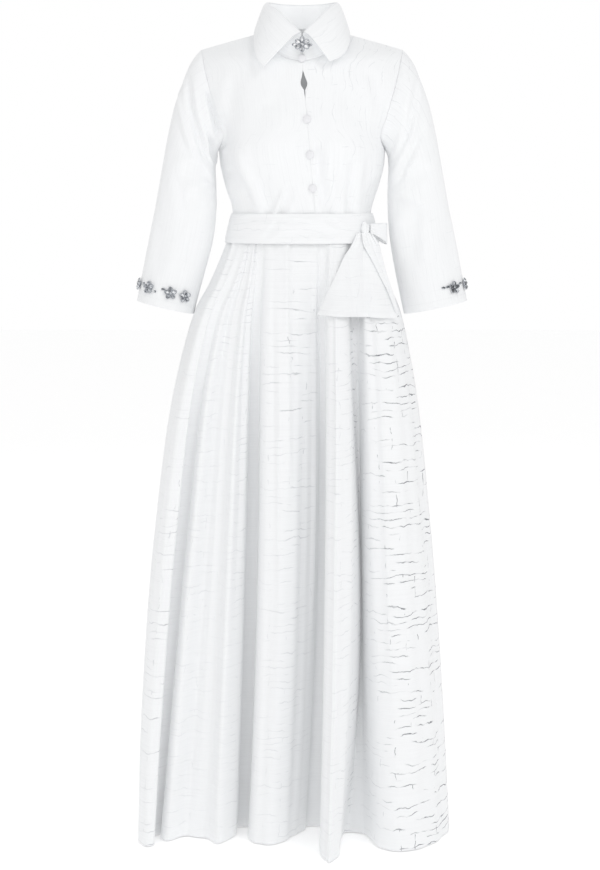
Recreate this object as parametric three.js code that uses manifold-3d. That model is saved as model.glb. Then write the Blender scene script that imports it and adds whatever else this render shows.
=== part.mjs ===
// An evening gown, filled out as it is worn: a shirt collar over a neck band, a buttoned bodice with a
// keyhole gap, bracelet sleeves with jewelled cuffs, a sash tied at the side, and a floor-length skirt
// in deep folds. Millimetres, +Z up, the front faces -Y, and the sash is tied on the +X side.
// The origin is at the base of the neck, level with the shoulder seams, where the wearer holds it up.

import * as THREE from "three";
import { mergeVertices } from "three/addons/utils/BufferGeometryUtils.js";
import Module from "manifold-3d";

// Driving dimensions
const CLOTH = 1.8; // wall of the bodice, sleeves, collar and sash
const SKIRT_CLOTH = 2;
const SEAM_GAP = 0.3; // between pieces that are sewn together
const WAIST_Z = -362;
const HEM_Z = -1486;
const WAIST = { halfWidth: 134, front: 96, back: 90 };
const SASH = {
  topZ: -335,
  footZ: -390,
  top: { halfWidth: 132, front: 99.5, back: 92 },
  foot: { halfWidth: 144.5, front: 104.5, back: 99 },
};
const BUTTON_LINE = { topZ: -58, leanPerMm: 0.085 }; // it leans towards +X on its way down
const KEYHOLE = { topZ: -74, length: 52 };
// Half the keyhole's width on its way down. Under the drop-shaped gap the edges lie almost together.
const KEYHOLE_GAP = [
  { at: 0, half: 0 },
  { at: 0.25, half: 3.2 },
  { at: 0.45, half: 6.2 },
  { at: 0.6, half: 4.2 },
  { at: 0.68, half: 1.4 },
  { at: 0.82, half: 0.9 },
  { at: 1, half: 0 },
];
const BUST = { x: 78, z: -205, rise: 13, acrossSpread: 48, upSpread: 62 };
const BUST_FADE = { fromU: 0.7, fromV: 0.6, over: 0.3 }; // where the cup dies away to side and shoulder
const WAIST_DART = { x: 66, depth: 3.2, halfWidth: 9, footZ: -345, length: 110 };
const BUTTON = { radius: 7.5, backRadius: 6.9, height: 4.5, rim: 1.2, sides: 14 };
const BUTTON_Z = [-164, -228, -289];
const NECK_BUTTON_Z = -52;
const BROOCH = { z: -25, standOff: 12, petals: 6, ring: 12.5, petal: 7.5, centre: 7 };
const CUFF_FLOWER = { petals: 5, ring: 6.4, petal: 4.8, centre: 3.6 };
const STONE = { long: 1.2, high: 0.5, wide: 0.82 }; // a petal stone's shape, times its size
const PLATE = { backShare: 0.8, sides: 10 };
const STEM = { radius: 4, overlap: 0.5, sides: 12 };
const CUFF_FLOWER_AT = 0.94; // where down the sleeve the jewelled band runs
// Where round the cuffs the flowers sit: the bodice row whose sleeve column carries one, in front or
// behind.
const CUFF_FLOWERS = [
  { name: "right_1", side: -1, row: 0.61, behind: false },
  { name: "right_2", side: -1, row: 0.7, behind: false },
  { name: "right_3", side: -1, row: 0.84, behind: false },
  { name: "right_4", side: -1, row: 0.96, behind: false },
  { name: "left_1", side: 1, row: 0.84, behind: false },
  { name: "left_2", side: 1, row: 0.96, behind: false },
  { name: "left_3", side: 1, row: 0.92, behind: true },
  { name: "left_4", side: 1, row: 0.75, behind: true },
];

// Half a front from the waist seam up to the shoulder seam. The in point is on the button line and
// then the neckline, the out point on the side seam and then the armhole, and arc is how far round
// the body the row bends between them, in degrees.
const FRONT_ROWS = [
  { at: 0.0, inX: 0, inY: -96, inZ: -362, outX: 134, outY: 0, outZ: -362, arc: 90 },
  { at: 0.1, inX: 0, inY: -97, inZ: -330, outX: 130, outY: 0, outZ: -330, arc: 90 },
  { at: 0.22, inX: 0, inY: -104, inZ: -290, outX: 144, outY: 0, outZ: -284, arc: 90 },
  { at: 0.34, inX: 0, inY: -112, inZ: -244, outX: 153, outY: 0, outZ: -246, arc: 90 },
  { at: 0.44, inX: 0, inY: -116, inZ: -205, outX: 156, outY: 0, outZ: -218, arc: 90, corner: 1 },
  { at: 0.54, inX: 0, inY: -114, inZ: -168, outX: 146, outY: -37, outZ: -192, arc: 78 },
  { at: 0.64, inX: 0, inY: -107, inZ: -132, outX: 158, outY: -48, outZ: -152, arc: 66 },
  { at: 0.74, inX: 0, inY: -98, inZ: -95, outX: 170, outY: -45, outZ: -110, arc: 58 },
  { at: 0.84, inX: 0, inY: -88, inZ: -58, outX: 180, outY: -32, outZ: -70, arc: 50, corner: 1 },
  { at: 0.9, inX: 36, inY: -74, inZ: -47, outX: 184.5, outY: -18, outZ: -48, arc: 42 },
  { at: 0.95, inX: 58, inY: -44, inZ: -23, outX: 187, outY: -6, outZ: -37, arc: 34 },
  { at: 1.0, inX: 68, inY: 6, inZ: 4, outX: 188, outY: 3, outZ: -30, arc: 20 },
];

// Half the back, in the same columns, with the centre back in place of the button line.
const BACK_ROWS = [
  { at: 0.0, inX: 0, inY: 90, inZ: -362, outX: 134, outY: 0, outZ: -362, arc: 90 },
  { at: 0.1, inX: 0, inY: 88, inZ: -330, outX: 130, outY: 0, outZ: -330, arc: 90 },
  { at: 0.22, inX: 0, inY: 93, inZ: -286, outX: 144, outY: 0, outZ: -284, arc: 90 },
  { at: 0.34, inX: 0, inY: 101, inZ: -240, outX: 153, outY: 0, outZ: -246, arc: 90 },
  { at: 0.44, inX: 0, inY: 106, inZ: -200, outX: 156, outY: 0, outZ: -218, arc: 90, corner: 1 },
  { at: 0.56, inX: 0, inY: 108, inZ: -150, outX: 163, outY: 46, outZ: -185, arc: 76 },
  { at: 0.68, inX: 0, inY: 106, inZ: -98, outX: 172, outY: 62, outZ: -135, arc: 62 },
  { at: 0.79, inX: 0, inY: 95, inZ: -42, outX: 178, outY: 58, outZ: -95, arc: 52 },
  { at: 0.88, inX: 0, inY: 68, inZ: 14, outX: 183, outY: 42, outZ: -64, arc: 44, corner: 1 },
  { at: 0.94, inX: 36, inY: 58, inZ: 13, outX: 186, outY: 24, outZ: -45, arc: 34 },
  { at: 0.97, inX: 55, inY: 39, inZ: 10, outX: 187.5, outY: 12, outZ: -36, arc: 28 },
  { at: 1.0, inX: 68, inY: 6.6, inZ: 4, outX: 188, outY: 3.6, outZ: -30, arc: 20 },
];
const UNDERARM_AT = 0.44;
const FRONT_NECK_AT = 0.84;
const BACK_NECK_AT = 0.88;
// The heights at which each panel has a row of points.
const FRONT_STEPS = [
  0, 0.1, 0.17, 0.24, 0.31, 0.38, 0.44, 0.49, 0.55, 0.61, 0.66, 0.68, 0.7, 0.715, 0.735, 0.76, 0.8, 0.84,
  0.88, 0.92, 0.96, 1,
];
const BACK_STEPS = [0, 0.1, 0.19, 0.28, 0.36, 0.44, 0.52, 0.6, 0.68, 0.75, 0.82, 0.88, 0.92, 0.96, 1];
const HALF_PANEL_COLUMNS = 9;

// The sleeve from armhole to cuff: its over-arm line, its underarm line, half its depth and where its
// middle lies from front to back.
const SLEEVE_ROWS = [
  { at: 0.0, overX: 188, overZ: -30, underX: 156, underZ: -218, halfDepth: 60, midY: 2 },
  { at: 0.08, overX: 205, overZ: -48, underX: 160, underZ: -226, halfDepth: 58, midY: 2 },
  { at: 0.18, overX: 221, overZ: -86, underX: 161.5, underZ: -237, halfDepth: 55, midY: 1 },
  { at: 0.3, overX: 237, overZ: -130, underX: 162, underZ: -256, halfDepth: 52, midY: -1 },
  { at: 0.42, overX: 250, overZ: -186, underX: 160.5, underZ: -284, halfDepth: 50, midY: -4 },
  { at: 0.56, overX: 264, overZ: -264, underX: 160.5, underZ: -328, halfDepth: 48, midY: -8 },
  { at: 0.7, overX: 278, overZ: -342, underX: 164.5, underZ: -383, halfDepth: 48, midY: -11 },
  { at: 0.84, overX: 293, overZ: -416, underX: 175, underZ: -446, halfDepth: 50, midY: -14 },
  { at: 1.0, overX: 309, overZ: -498, underX: 191, underZ: -523, halfDepth: 52, midY: -17 },
];
const SLEEVE_STEPS = [0, 0.04, 0.09, 0.15, 0.22, 0.31, 0.42, 0.54, 0.67, 0.83, 1];
const SLEEVE_CAP = 0.13; // how far down the armhole's own shape has gone
const SLEEVE_PUSH = { x: 11, from: 0.6 }; // the skirt's fuller -X side holds that cuff out

// Half the collar from the centre back (0) over the shoulder (0.5) to the button line (1): the roll
// line at the top of the neck band, and the free edge of the leaf that falls from it.
const COLLAR_ROWS = [
  { at: 0.0, rollX: 0, rollY: 60, rollZ: 56, edgeX: 0, edgeY: 88, edgeZ: 13 },
  { at: 0.25, rollX: 39, rollY: 51, rollZ: 57, edgeX: 53, edgeY: 76, edgeZ: 14 },
  { at: 0.5, rollX: 63, rollY: 6, rollZ: 56, edgeX: 86, edgeY: 6, edgeZ: 7 },
  { at: 0.68, rollX: 57, rollY: -29, rollZ: 47, edgeX: 89, edgeY: -38, edgeZ: -10 },
  { at: 0.8, rollX: 44, rollY: -56, rollZ: 35, edgeX: 86, edgeY: -74, edgeZ: -31 },
  { at: 0.91, rollX: 24, rollY: -78, rollZ: 13.5, edgeX: 77, edgeY: -98, edgeZ: -51 },
  { at: 1.0, rollX: 2.5, rollY: -91, rollZ: -7, edgeX: 60, edgeY: -110, edgeZ: -64 },
];
// The places round the collar at which the bodice's own rows end on the neckline.
const COLLAR_STEPS = [
  ...BACK_STEPS.filter((v) => v >= BACK_NECK_AT)
    .map((v) => (0.5 * (v - BACK_NECK_AT)) / (1 - BACK_NECK_AT)),
  ...FRONT_STEPS.filter((v) => v >= FRONT_NECK_AT && v < 1)
    .map((v) => 1 - (0.5 * (v - FRONT_NECK_AT)) / (1 - FRONT_NECK_AT))
    .reverse(),
];
const STAND_ROWS = 3;
// Both points are swung towards -X, the one there hanging lower. The power keeps it near the points.
const LEAF_SWING = { x: 10, z: 5, power: 8 };
// The leaf's section from its free edge up over the roll line: how far it is from roll line to edge,
// and how far out from that line and up it lies.
const LEAF_SECTION = [
  { along: 1, out: 0, up: 0 },
  { along: 0.72, out: 2.5, up: 2 },
  { along: 0.42, out: 4, up: 4 },
  { along: 0.16, out: 4.6, up: 4.4 },
  { along: 0, out: 3.9, up: 1.6 },
  { along: 0, out: 2.4, up: 2.6 },
  { along: 0, out: -0.4, up: 2.4 },
];

// How far each fold has swung out on its way from waist to hem, as a share of the drop.
const FLARE = [
  { at: 0.0, out: 0 },
  { at: 0.026, out: 0.04 },
  { at: 0.09, out: 0.21 },
  { at: 0.137, out: 0.37 },
  { at: 0.203, out: 0.5 },
  { at: 0.286, out: 0.62 },
  { at: 0.37, out: 0.705 },
  { at: 0.45, out: 0.768 },
  { at: 0.55, out: 0.84 },
  { at: 0.65, out: 0.894 },
  { at: 0.75, out: 0.937 },
  { at: 0.85, out: 0.97 },
  { at: 1.0, out: 1 },
];
const SWING_AT = 0.41; // where down the drop a fold's swing is measured
const SAG_AT = 2 / 3; // where a sag, which comes lower down, is greatest
const RECESS = { atWaist: 0.1, from: 0.05, to: 0.42 }; // how open it is, and the drops where it opens
const SKIRT_STEPS = [0, 0.027, 0.07, 0.13, 0.21, 0.32, 0.46, 0.62, 0.8, 1];
const SAMPLES_PER_SPAN = 2;

// The skirt's front folds from the -X side seam to the +X one. waistX is the place in the waist seam,
// swing how far the fold's line bends aside at mid height and sag lower down, hemX and hemY where it
// meets the hem. In a recess, lipY is where it would meet the hem if it lay level with the folds
// beside it.
const FRONT_FOLDS = [
  { waistX: -134, swing: -2, hemX: -302, hemY: -10 },
  { waistX: -132.5, swing: -2, hemX: -306, hemY: -80 },
  { waistX: -127, swing: 0, hemX: -298, hemY: -140 },
  { waistX: -121, swing: 4, hemX: -284, hemY: -163 },
  { waistX: -114, swing: 10, hemX: -271, hemY: -157 },
  { waistX: -110, swing: 10, hemX: -277, hemY: -116, lipY: -150 },
  { waistX: -105, swing: 16, hemX: -256, hemY: -98, lipY: -128 },
  { waistX: -101, swing: 20, hemX: -262, hemY: -120 },
  { waistX: -98, swing: 20, hemX: -250, hemY: -134 },
  { waistX: -94, swing: 18, hemX: -210, hemY: -112 },
  { waistX: -90, swing: 14, hemX: -178, hemY: -120 },
  { waistX: -87, swing: 10, hemX: -156, hemY: -150 },
  { waistX: -84, swing: 9, hemX: -135, hemY: -128 },
  { waistX: -81, swing: 9, hemX: -121, hemY: -98 },
  { waistX: -79, swing: 9, hemX: -125, hemY: -66, lipY: -98 },
  { waistX: -74, swing: 12, hemX: -97, hemY: -66, lipY: -98 },
  { waistX: -71, swing: 14, hemX: -101, hemY: -98 },
  { waistX: -67, swing: 14, hemX: -91, hemY: -142 },
  { waistX: -42, swing: 16, hemX: -58, hemY: -155 },
  { waistX: -10, swing: 16, hemX: -31, hemY: -134 },
  { waistX: 18, swing: 17, hemX: -9, hemY: -98 },
  { waistX: 32, swing: 17, hemX: 6, hemY: -76 },
  { waistX: 36, swing: 16, hemX: 9, hemY: -60, lipY: -84 },
  { waistX: 41, swing: 10, hemX: 35, hemY: -62, lipY: -112 },
  { waistX: 44, swing: 8, hemX: 32, hemY: -130 },
  { waistX: 49, swing: 8, hemX: 34, hemY: -206 },
  { waistX: 60, swing: 10, hemX: 48, hemY: -243 },
  { waistX: 76, swing: 18, hemX: 65, hemY: -205 },
  { waistX: 88, swing: 8, sag: 21, hemX: 79, hemY: -94 },
  { waistX: 92, swing: 14, hemX: 92, hemY: -90, lipY: -98 },
  { waistX: 96, swing: 0, hemX: 112, hemY: -98, lipY: -108 },
  { waistX: 100, swing: -6, hemX: 120, hemY: -112 },
  { waistX: 105, swing: -8, hemX: 140, hemY: -168 },
  { waistX: 113, swing: -8, hemX: 176, hemY: -188 },
  { waistX: 121, swing: -8, hemX: 222, hemY: -166 },
  { waistX: 128, swing: -8, hemX: 260, hemY: -118 },
  { waistX: 132.5, swing: -8, hemX: 276, hemY: -62 },
  { waistX: 134, swing: -8, hemX: 280, hemY: -10 },
];

// The back is finished plainly in even box folds round an oval. A fold runs from the middle of one
// box to the middle of the next: turn is how far through it, depth how deep the recess between is.
const BACK_FOLDS = { count: 6, midX: -11, sideY: -10, halfWidth: 291, depth: 210, recess: 84 };
const BACK_FOLD = [
  { turn: 0, depth: 0 },
  { turn: 0.38, depth: 0.02 },
  { turn: 0.45, depth: 1 },
  { turn: 0.55, depth: 1 },
  { turn: 0.62, depth: 0.02 },
];

// The sash's two hanging ends from the knot down: the left and right edges at each height, and how
// much lower the right edge is.
const LOWER_TAIL = [
  { at: 0, leftX: 101, rightX: 124, z: -379, slant: 0 },
  { at: 0.1, leftX: 90, rightX: 137, z: -394, slant: 0 },
  { at: 0.2, leftX: 79, rightX: 143, z: -410, slant: -1 },
  { at: 0.4, leftX: 64, rightX: 150, z: -440, slant: -3 },
  { at: 0.6, leftX: 50, rightX: 158, z: -469, slant: -5 },
  { at: 0.8, leftX: 38, rightX: 167, z: -494, slant: -8 },
  { at: 1, leftX: 27, rightX: 176, z: -517, slant: -10 },
];
const UPPER_TAIL = [
  { at: 0, leftX: 112, rightX: 138, z: -379, slant: 0 },
  { at: 0.13, leftX: 113, rightX: 143, z: -392, slant: 0 },
  { at: 0.3, leftX: 121, rightX: 147, z: -407, slant: 0 },
  { at: 0.5, leftX: 135, rightX: 153.5, z: -433, slant: 0 },
  { at: 0.68, leftX: 146, rightX: 160, z: -455, slant: 0 },
  { at: 0.84, leftX: 158, rightX: 168, z: -479, slant: 0 },
  { at: 1, leftX: 172, rightX: 177.5, z: -515, slant: 0 },
];
const LOWER_TAIL_HANG = { clearance: 5.2, folds: 2, foldDepth: 3 }; // clearance is to its outer face
const UPPER_TAIL_HANG = { clearance: 9.5, folds: 1, foldDepth: 0 };
const TAIL_ROUNDING = 26; // how broadly a tail bridges the folds it hangs over
const TAIL_SLOPE = 0.15; // how fast the sash's fullness stands out below its foot
const KNOT = { x: 112, z: -363, halfWidth: 12, halfDepth: 7.5, halfHeight: 14 };
const LOOP = { length: 42, swell: 8, nearHeight: 16, farHeight: 40, droop: 10, columns: 20, cloth: 1.4 };

const v3 = (x, y, z) => new THREE.Vector3(x, y, z);
const mix = THREE.MathUtils.lerp;
const radians = THREE.MathUtils.degToRad;
const smooth = (t) => THREE.MathUtils.smoothstep(t, 0, 1);
const bump = (distance, spread) => Math.exp(-((distance / spread) ** 2));

// One column of a table at a place in its "at" column, on a smooth curve through the rows that turns
// sharply only at a row marked as a corner.
function follow(table, at, column) {
  const last = table.length - 1;
  let i = 0;
  while (i < last - 1 && at > table[i + 1].at) i++;
  const slope = (k) => {
    const before = table[k].corner ? i : Math.max(k - 1, 0);
    const after = table[k].corner ? i + 1 : Math.min(k + 1, last);
    return (table[after][column] - table[before][column]) / (table[after].at - table[before].at);
  };
  const span = table[i + 1].at - table[i].at;
  const t = (at - table[i].at) / span;
  const tt = t * t;
  const ttt = tt * t;
  const start = (2 * ttt - 3 * tt + 1) * table[i][column] + (ttt - 2 * tt + t) * span * slope(i);
  return start + (3 * tt - 2 * ttt) * table[i + 1][column] + (ttt - tt) * span * slope(i + 1);
}

// The outward normal at each point of a grid whose rows run anticlockwise seen from above and whose
// columns go up. Along a seam the normal keeps to the seam's plane, so that both sides meet squarely,
// and where a sleeve's seam goes over the shoulder it stands upright.
function normalsOf(grid, closed, seams) {
  const last = grid.length - 1;
  return grid.map((row, r) =>
    row.map((point, c) => {
      const count = row.length;
      const before = closed ? row[(c + count - 1) % count] : row[Math.max(c - 1, 0)];
      const after = closed ? row[(c + 1) % count] : row[Math.min(c + 1, count - 1)];
      const up = grid[Math.min(r + 1, last)][c].clone().sub(grid[Math.max(r - 1, 0)][c]);
      const normal = after.clone().sub(before).cross(up);
      if (seams.start && c === 0) normal[seams.start] = 0;
      if (seams.end && c === count - 1) normal[seams.end] = 0;
      if (seams.top && r === last) normal[seams.top] = 0;
      if (seams.shoulder && r === last && normal.z > 0) normal.x = 0;
      return normal.normalize();
    }),
  );
}

// A cloth wall from a grid of points on its outer face. Its inner face is the same grid, moved in.
function wall(grid, thickness, closed = false, seams = {}) {
  const normals = normalsOf(grid, closed, seams);
  const rows = grid.length;
  const columns = grid[0].length;
  const positions = [];
  for (const row of grid) for (const p of row) positions.push(p.x, p.y, p.z);
  grid.forEach((row, r) =>
    row.forEach((p, c) => {
      const inside = p.clone().addScaledVector(normals[r][c], -thickness);
      positions.push(inside.x, inside.y, inside.z);
    }),
  );
  const outer = (r, c) => r * columns + (c % columns);
  const inner = (r, c) => rows * columns + outer(r, c);
  const index = [];
  const quad = (a, b, c, d) => index.push(a, b, c, a, c, d);
  const spans = closed ? columns : columns - 1;
  const top = rows - 1;
  for (let r = 0; r < top; r++)
    for (let c = 0; c < spans; c++) {
      quad(outer(r, c), outer(r, c + 1), outer(r + 1, c + 1), outer(r + 1, c));
      quad(inner(r, c), inner(r + 1, c), inner(r + 1, c + 1), inner(r, c + 1));
    }
  for (let c = 0; c < spans; c++) {
    quad(outer(0, c + 1), outer(0, c), inner(0, c), inner(0, c + 1));
    quad(outer(top, c), outer(top, c + 1), inner(top, c + 1), inner(top, c));
  }
  if (!closed)
    for (let r = 0; r < top; r++) {
      quad(outer(r, 0), outer(r + 1, 0), inner(r + 1, 0), inner(r, 0));
      quad(outer(r + 1, spans), outer(r, spans), inner(r, spans), inner(r + 1, spans));
    }
  const geometry = new THREE.BufferGeometry();
  geometry.setAttribute("position", new THREE.Float32BufferAttribute(positions, 3));
  geometry.setIndex(index);
  return geometry;
}

// Draws an edge of a grid back towards the points beside it, for the gap at a seam.
function drawBack(points, neighbours, gap = SEAM_GAP / 2) {
  points.forEach((p, i) => p.add(neighbours[i].clone().sub(p).setLength(gap)));
}

const columnOf = (grid, c) => grid.map((row) => row.at(c));

// Bodice

const buttonLineX = (z) => Math.max(BUTTON_LINE.topZ - z, 0) * BUTTON_LINE.leanPerMm;

// Half the gap between the two fronts: the seam's, or the keyhole's where that opens.
function frontOpening(z) {
  const t = THREE.MathUtils.clamp((KEYHOLE.topZ - z) / KEYHOLE.length, 0, 1);
  return SEAM_GAP / 2 + follow(KEYHOLE_GAP, t, "half");
}

// The rise of a bust cup over the plain front, less the hollow of the waist dart under it.
function cupRise(x, z) {
  const cup = BUST.rise * bump(Math.abs(x) - BUST.x, BUST.acrossSpread) * bump(z - BUST.z, BUST.upSpread);
  const up = THREE.MathUtils.clamp((z - WAIST_DART.footZ) / WAIST_DART.length, 0, 1);
  const hollow = WAIST_DART.depth * Math.sin(Math.PI * up);
  return cup - hollow * bump(Math.abs(x) - WAIST_DART.x, WAIST_DART.halfWidth);
}

// A point on half a bodice panel. side is 1 or -1, u runs from the inner edge to the outer one, v from
// waist to shoulder, and shift is how far in x the inner edge is moved off the middle.
function bodicePoint(rows, side, u, v, shift = 0) {
  const get = (column) => follow(rows, v, column);
  const turn = radians(get("arc"));
  const start = Math.asin((side * shift * Math.sin(turn)) / (get("outX") - get("inX")));
  const angle = mix(start, turn, u);
  const across = Math.sin(angle) / Math.sin(turn);
  const back = (1 - Math.cos(angle)) / (1 - Math.cos(turn));
  const x = mix(get("inX"), get("outX"), across);
  const z = mix(get("inZ"), get("outZ"), u);
  const y = mix(get("inY"), get("outY"), back);
  if (rows === BACK_ROWS) return v3(side * x, y, z);
  const acrossShare = 1 - smooth((u - BUST_FADE.fromU) / BUST_FADE.over);
  const upShare = 1 - smooth((v - BUST_FADE.fromV) / BUST_FADE.over);
  return v3(side * x, y - cupRise(x, z) * acrossShare * upShare, z);
}

function frontPoint(side, u, v) {
  const edgeZ = follow(FRONT_ROWS, v, "inZ");
  const shift = v > FRONT_NECK_AT ? 0 : buttonLineX(edgeZ) + side * frontOpening(edgeZ);
  return bodicePoint(FRONT_ROWS, side, u, v, shift);
}

// A point on half the back, which has a seam down its middle.
function backPoint(side, u, v) {
  return bodicePoint(BACK_ROWS, side, u, v, v > BACK_NECK_AT ? 0 : (side * SEAM_GAP) / 2);
}

// Half a front or back. Its rows start at the inner edge or at the outer one, whichever comes first
// going anticlockwise.
function bodicePanel(pointAt, steps, side, innerFirst) {
  const grid = steps.map((v) => {
    const row = [];
    for (let c = 0; c <= HALF_PANEL_COLUMNS; c++) row.push(pointAt(side, c / HALF_PANEL_COLUMNS, v));
    return innerFirst ? row : row.reverse();
  });
  const underSleeve = grid.slice(0, steps.indexOf(UNDERARM_AT) + 1);
  drawBack(columnOf(underSleeve, innerFirst ? -1 : 0), columnOf(underSleeve, innerFirst ? -2 : 1));
  drawBack(grid[0], grid[1]);
  const seams = innerFirst ? { start: "x", end: "y", top: "y" } : { start: "y", end: "x", top: "y" };
  return wall(grid, CLOTH, false, seams);
}

const frontPanel = (side) => bodicePanel(frontPoint, FRONT_STEPS, side, side > 0);
const backPanel = (side) => bodicePanel(backPoint, BACK_STEPS, side, side < 0);

// The point of the front at an x and a z near the button line.
function frontSurfaceAt(x, z) {
  let low = 0;
  let high = FRONT_NECK_AT;
  const halvings = 30;
  for (let i = 0; i < halvings; i++) {
    const middle = (low + high) / 2;
    if (follow(FRONT_ROWS, middle, "inZ") < z) low = middle;
    else high = middle;
  }
  const reach = follow(FRONT_ROWS, low, "outX");
  const y = follow(FRONT_ROWS, low, "inY") * Math.sqrt(1 - (x / reach) ** 2);
  return v3(x, y - cupRise(x, z), z);
}

// Sleeves

// The armhole at a turn of 0 to 1, anticlockwise seen from above on the +X side, from the shoulder
// tip back, under the arm and forward again.
function armholePoint(side, turn) {
  const v = mix(UNDERARM_AT, 1, Math.abs(1 - 2 * turn));
  return bodicePoint(turn < 0.5 ? BACK_ROWS : FRONT_ROWS, side, 1, v);
}

// A point of a sleeve. turn is as at the armhole, at runs from armhole to cuff.
function sleevePoint(side, turn, at) {
  const get = (column) => follow(SLEEVE_ROWS, at, column);
  const angle = 2 * Math.PI * turn;
  const over = (1 + Math.cos(angle)) / 2;
  const push = side < 0 ? SLEEVE_PUSH.x * smooth((at - SLEEVE_PUSH.from) / (1 - SLEEVE_PUSH.from)) : 0;
  const x = side * mix(get("underX") + push, get("overX"), over);
  const y = get("midY") + get("halfDepth") * Math.sin(angle);
  const ring = v3(x, y, mix(get("underZ"), get("overZ"), over));
  return ring.lerp(armholePoint(side, turn), 1 - smooth(at / SLEEVE_CAP));
}

// The turn at which a row of the back or the front ends on the armhole.
const backTurn = (v) => (0.5 * (1 - v)) / (1 - UNDERARM_AT);
const frontTurn = (v) => 1 - backTurn(v);

// All those turns, so that both sides of the armhole seam match.
function armholeTurns() {
  const back = BACK_STEPS.filter((v) => v > UNDERARM_AT).map(backTurn).reverse();
  return [...back, ...FRONT_STEPS.filter((v) => v >= UNDERARM_AT && v < 1).map(frontTurn)];
}

function sleeve(side) {
  const grid = SLEEVE_STEPS.toReversed().map((at) => {
    const row = armholeTurns().map((turn) => sleevePoint(side, turn, at));
    return side > 0 ? row : row.reverse();
  });
  drawBack(grid.at(-1), grid.at(-2), SEAM_GAP);
  return wall(grid, CLOTH, true, { shoulder: true });
}

// Collar

// The neckline seam at a place from the centre back (0) over the shoulder (0.5) to the front (1).
function neckSeam(side, at) {
  const back = at < 0.5;
  const v = back ? mix(BACK_NECK_AT, 1, at / 0.5) : mix(1, FRONT_NECK_AT, (at - 0.5) / 0.5);
  return bodicePoint(back ? BACK_ROWS : FRONT_ROWS, side, 0, v);
}

function rollPoint(side, at) {
  const get = (column) => follow(COLLAR_ROWS, at, column);
  return v3(side * get("rollX"), get("rollY"), get("rollZ"));
}

// Goes round the collar from the +X front over the back to the -X front.
function roundCollar(point) {
  const right = COLLAR_STEPS.toReversed().map((at) => point(1, at));
  const left = COLLAR_STEPS.slice(1).map((at) => point(-1, at));
  return [...right, ...left];
}

function collarStand() {
  const grid = [];
  for (let r = 0; r <= STAND_ROWS; r++)
    grid.push(
      roundCollar((side, at) => {
        const seam = neckSeam(side, at);
        seam.x += side * (at === 1 ? SEAM_GAP / 2 : 0);
        return seam.lerp(rollPoint(side, at), r / STAND_ROWS);
      }),
    );
  drawBack(grid[0], grid[1], SEAM_GAP);
  return wall(grid, CLOTH, false, { start: "x", end: "x" });
}

// The level direction out from the neck, square to the roll line.
function outFromNeck(side, at) {
  const step = 0.04;
  const before = rollPoint(side, Math.max(at - step, 0));
  const run = rollPoint(side, Math.min(at + step, 1)).sub(before).setZ(0).normalize();
  return at === 0 ? v3(0, 1, 0) : v3(side * -run.y, side * run.x, 0);
}

function collarFall() {
  const grid = LEAF_SECTION.map(({ along, out, up }) =>
    roundCollar((side, at) => {
      const swing = at ** LEAF_SWING.power;
      const get = (column) => follow(COLLAR_ROWS, at, column);
      const edge = v3(side * get("edgeX") - LEAF_SWING.x * swing, get("edgeY"), get("edgeZ"));
      edge.z += side * LEAF_SWING.z * swing;
      const point = rollPoint(side, at).lerp(edge, along);
      return point.addScaledVector(outFromNeck(side, at), out).setZ(point.z + up);
    }),
  );
  return wall(grid, CLOTH);
}

// The neck band's front at a height, between its two ends.
function standFrontAt(z) {
  const foot = neckSeam(1, 1);
  const top = rollPoint(1, 1);
  return v3(0, mix(foot.y, top.y, (z - foot.z) / (top.z - foot.z)), z);
}

// Skirt

// How far aside a fold's line is bent at a drop of 0 to 1.
function asideAt(t, swing, sag = 0) {
  const swung = (t * (1 - t)) / (SWING_AT * (1 - SWING_AT));
  const sagged = (t * t * (1 - t)) / (SAG_AT * SAG_AT * (1 - SAG_AT));
  return swing * swung + sag * sagged;
}

// A point on a fold's line at a drop of 0 to 1, from its places at the waist and the hem. A recess
// opens on the way down, and lip is where its fold would meet the hem if it stayed closed.
function foldPoint(waist, hem, lip, aside, t) {
  const opened = mix(RECESS.atWaist, 1, smooth((t - RECESS.from) / (RECESS.to - RECESS.from)));
  const foot = lip.clone().lerp(hem, opened);
  const point = waist.clone().lerp(foot, follow(FLARE, t, "out"));
  point.x += aside;
  return point.setZ(mix(WAIST_Z, HEM_Z, t));
}

function frontFoldPoints(t) {
  return FRONT_FOLDS.map(({ waistX, swing, sag, hemX, hemY, lipY = hemY }) => {
    const aside = asideAt(t, swing, sag);
    const waistY = -WAIST.front * Math.sqrt(1 - (waistX / WAIST.halfWidth) ** 2);
    return foldPoint(v3(waistX, waistY, 0), v3(hemX, hemY, 0), v3(hemX, lipY, 0), aside, t);
  });
}

// The back's fold lines from the +X side seam round to the -X one.
function backFoldPoints(t) {
  const { count, midX, sideY, halfWidth, depth, recess } = BACK_FOLDS;
  const atHem = (angle, inward) =>
    v3(midX + (halfWidth - inward) * Math.cos(angle), sideY + (depth - inward) * Math.sin(angle), 0);
  const points = [];
  for (let fold = 0; fold <= count; fold++)
    for (const step of fold < count ? BACK_FOLD : BACK_FOLD.slice(0, 1)) {
      const round = (fold + step.turn) / count;
      const angle = Math.PI * round;
      const swing = mix(FRONT_FOLDS.at(-1).swing, FRONT_FOLDS[0].swing, round);
      const waist = v3(WAIST.halfWidth * Math.cos(angle), WAIST.back * Math.sin(angle), 0);
      points.push(foldPoint(waist, atHem(angle, recess * step.depth), atHem(angle, 0), asideAt(t, swing), t));
    }
  return points;
}

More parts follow.
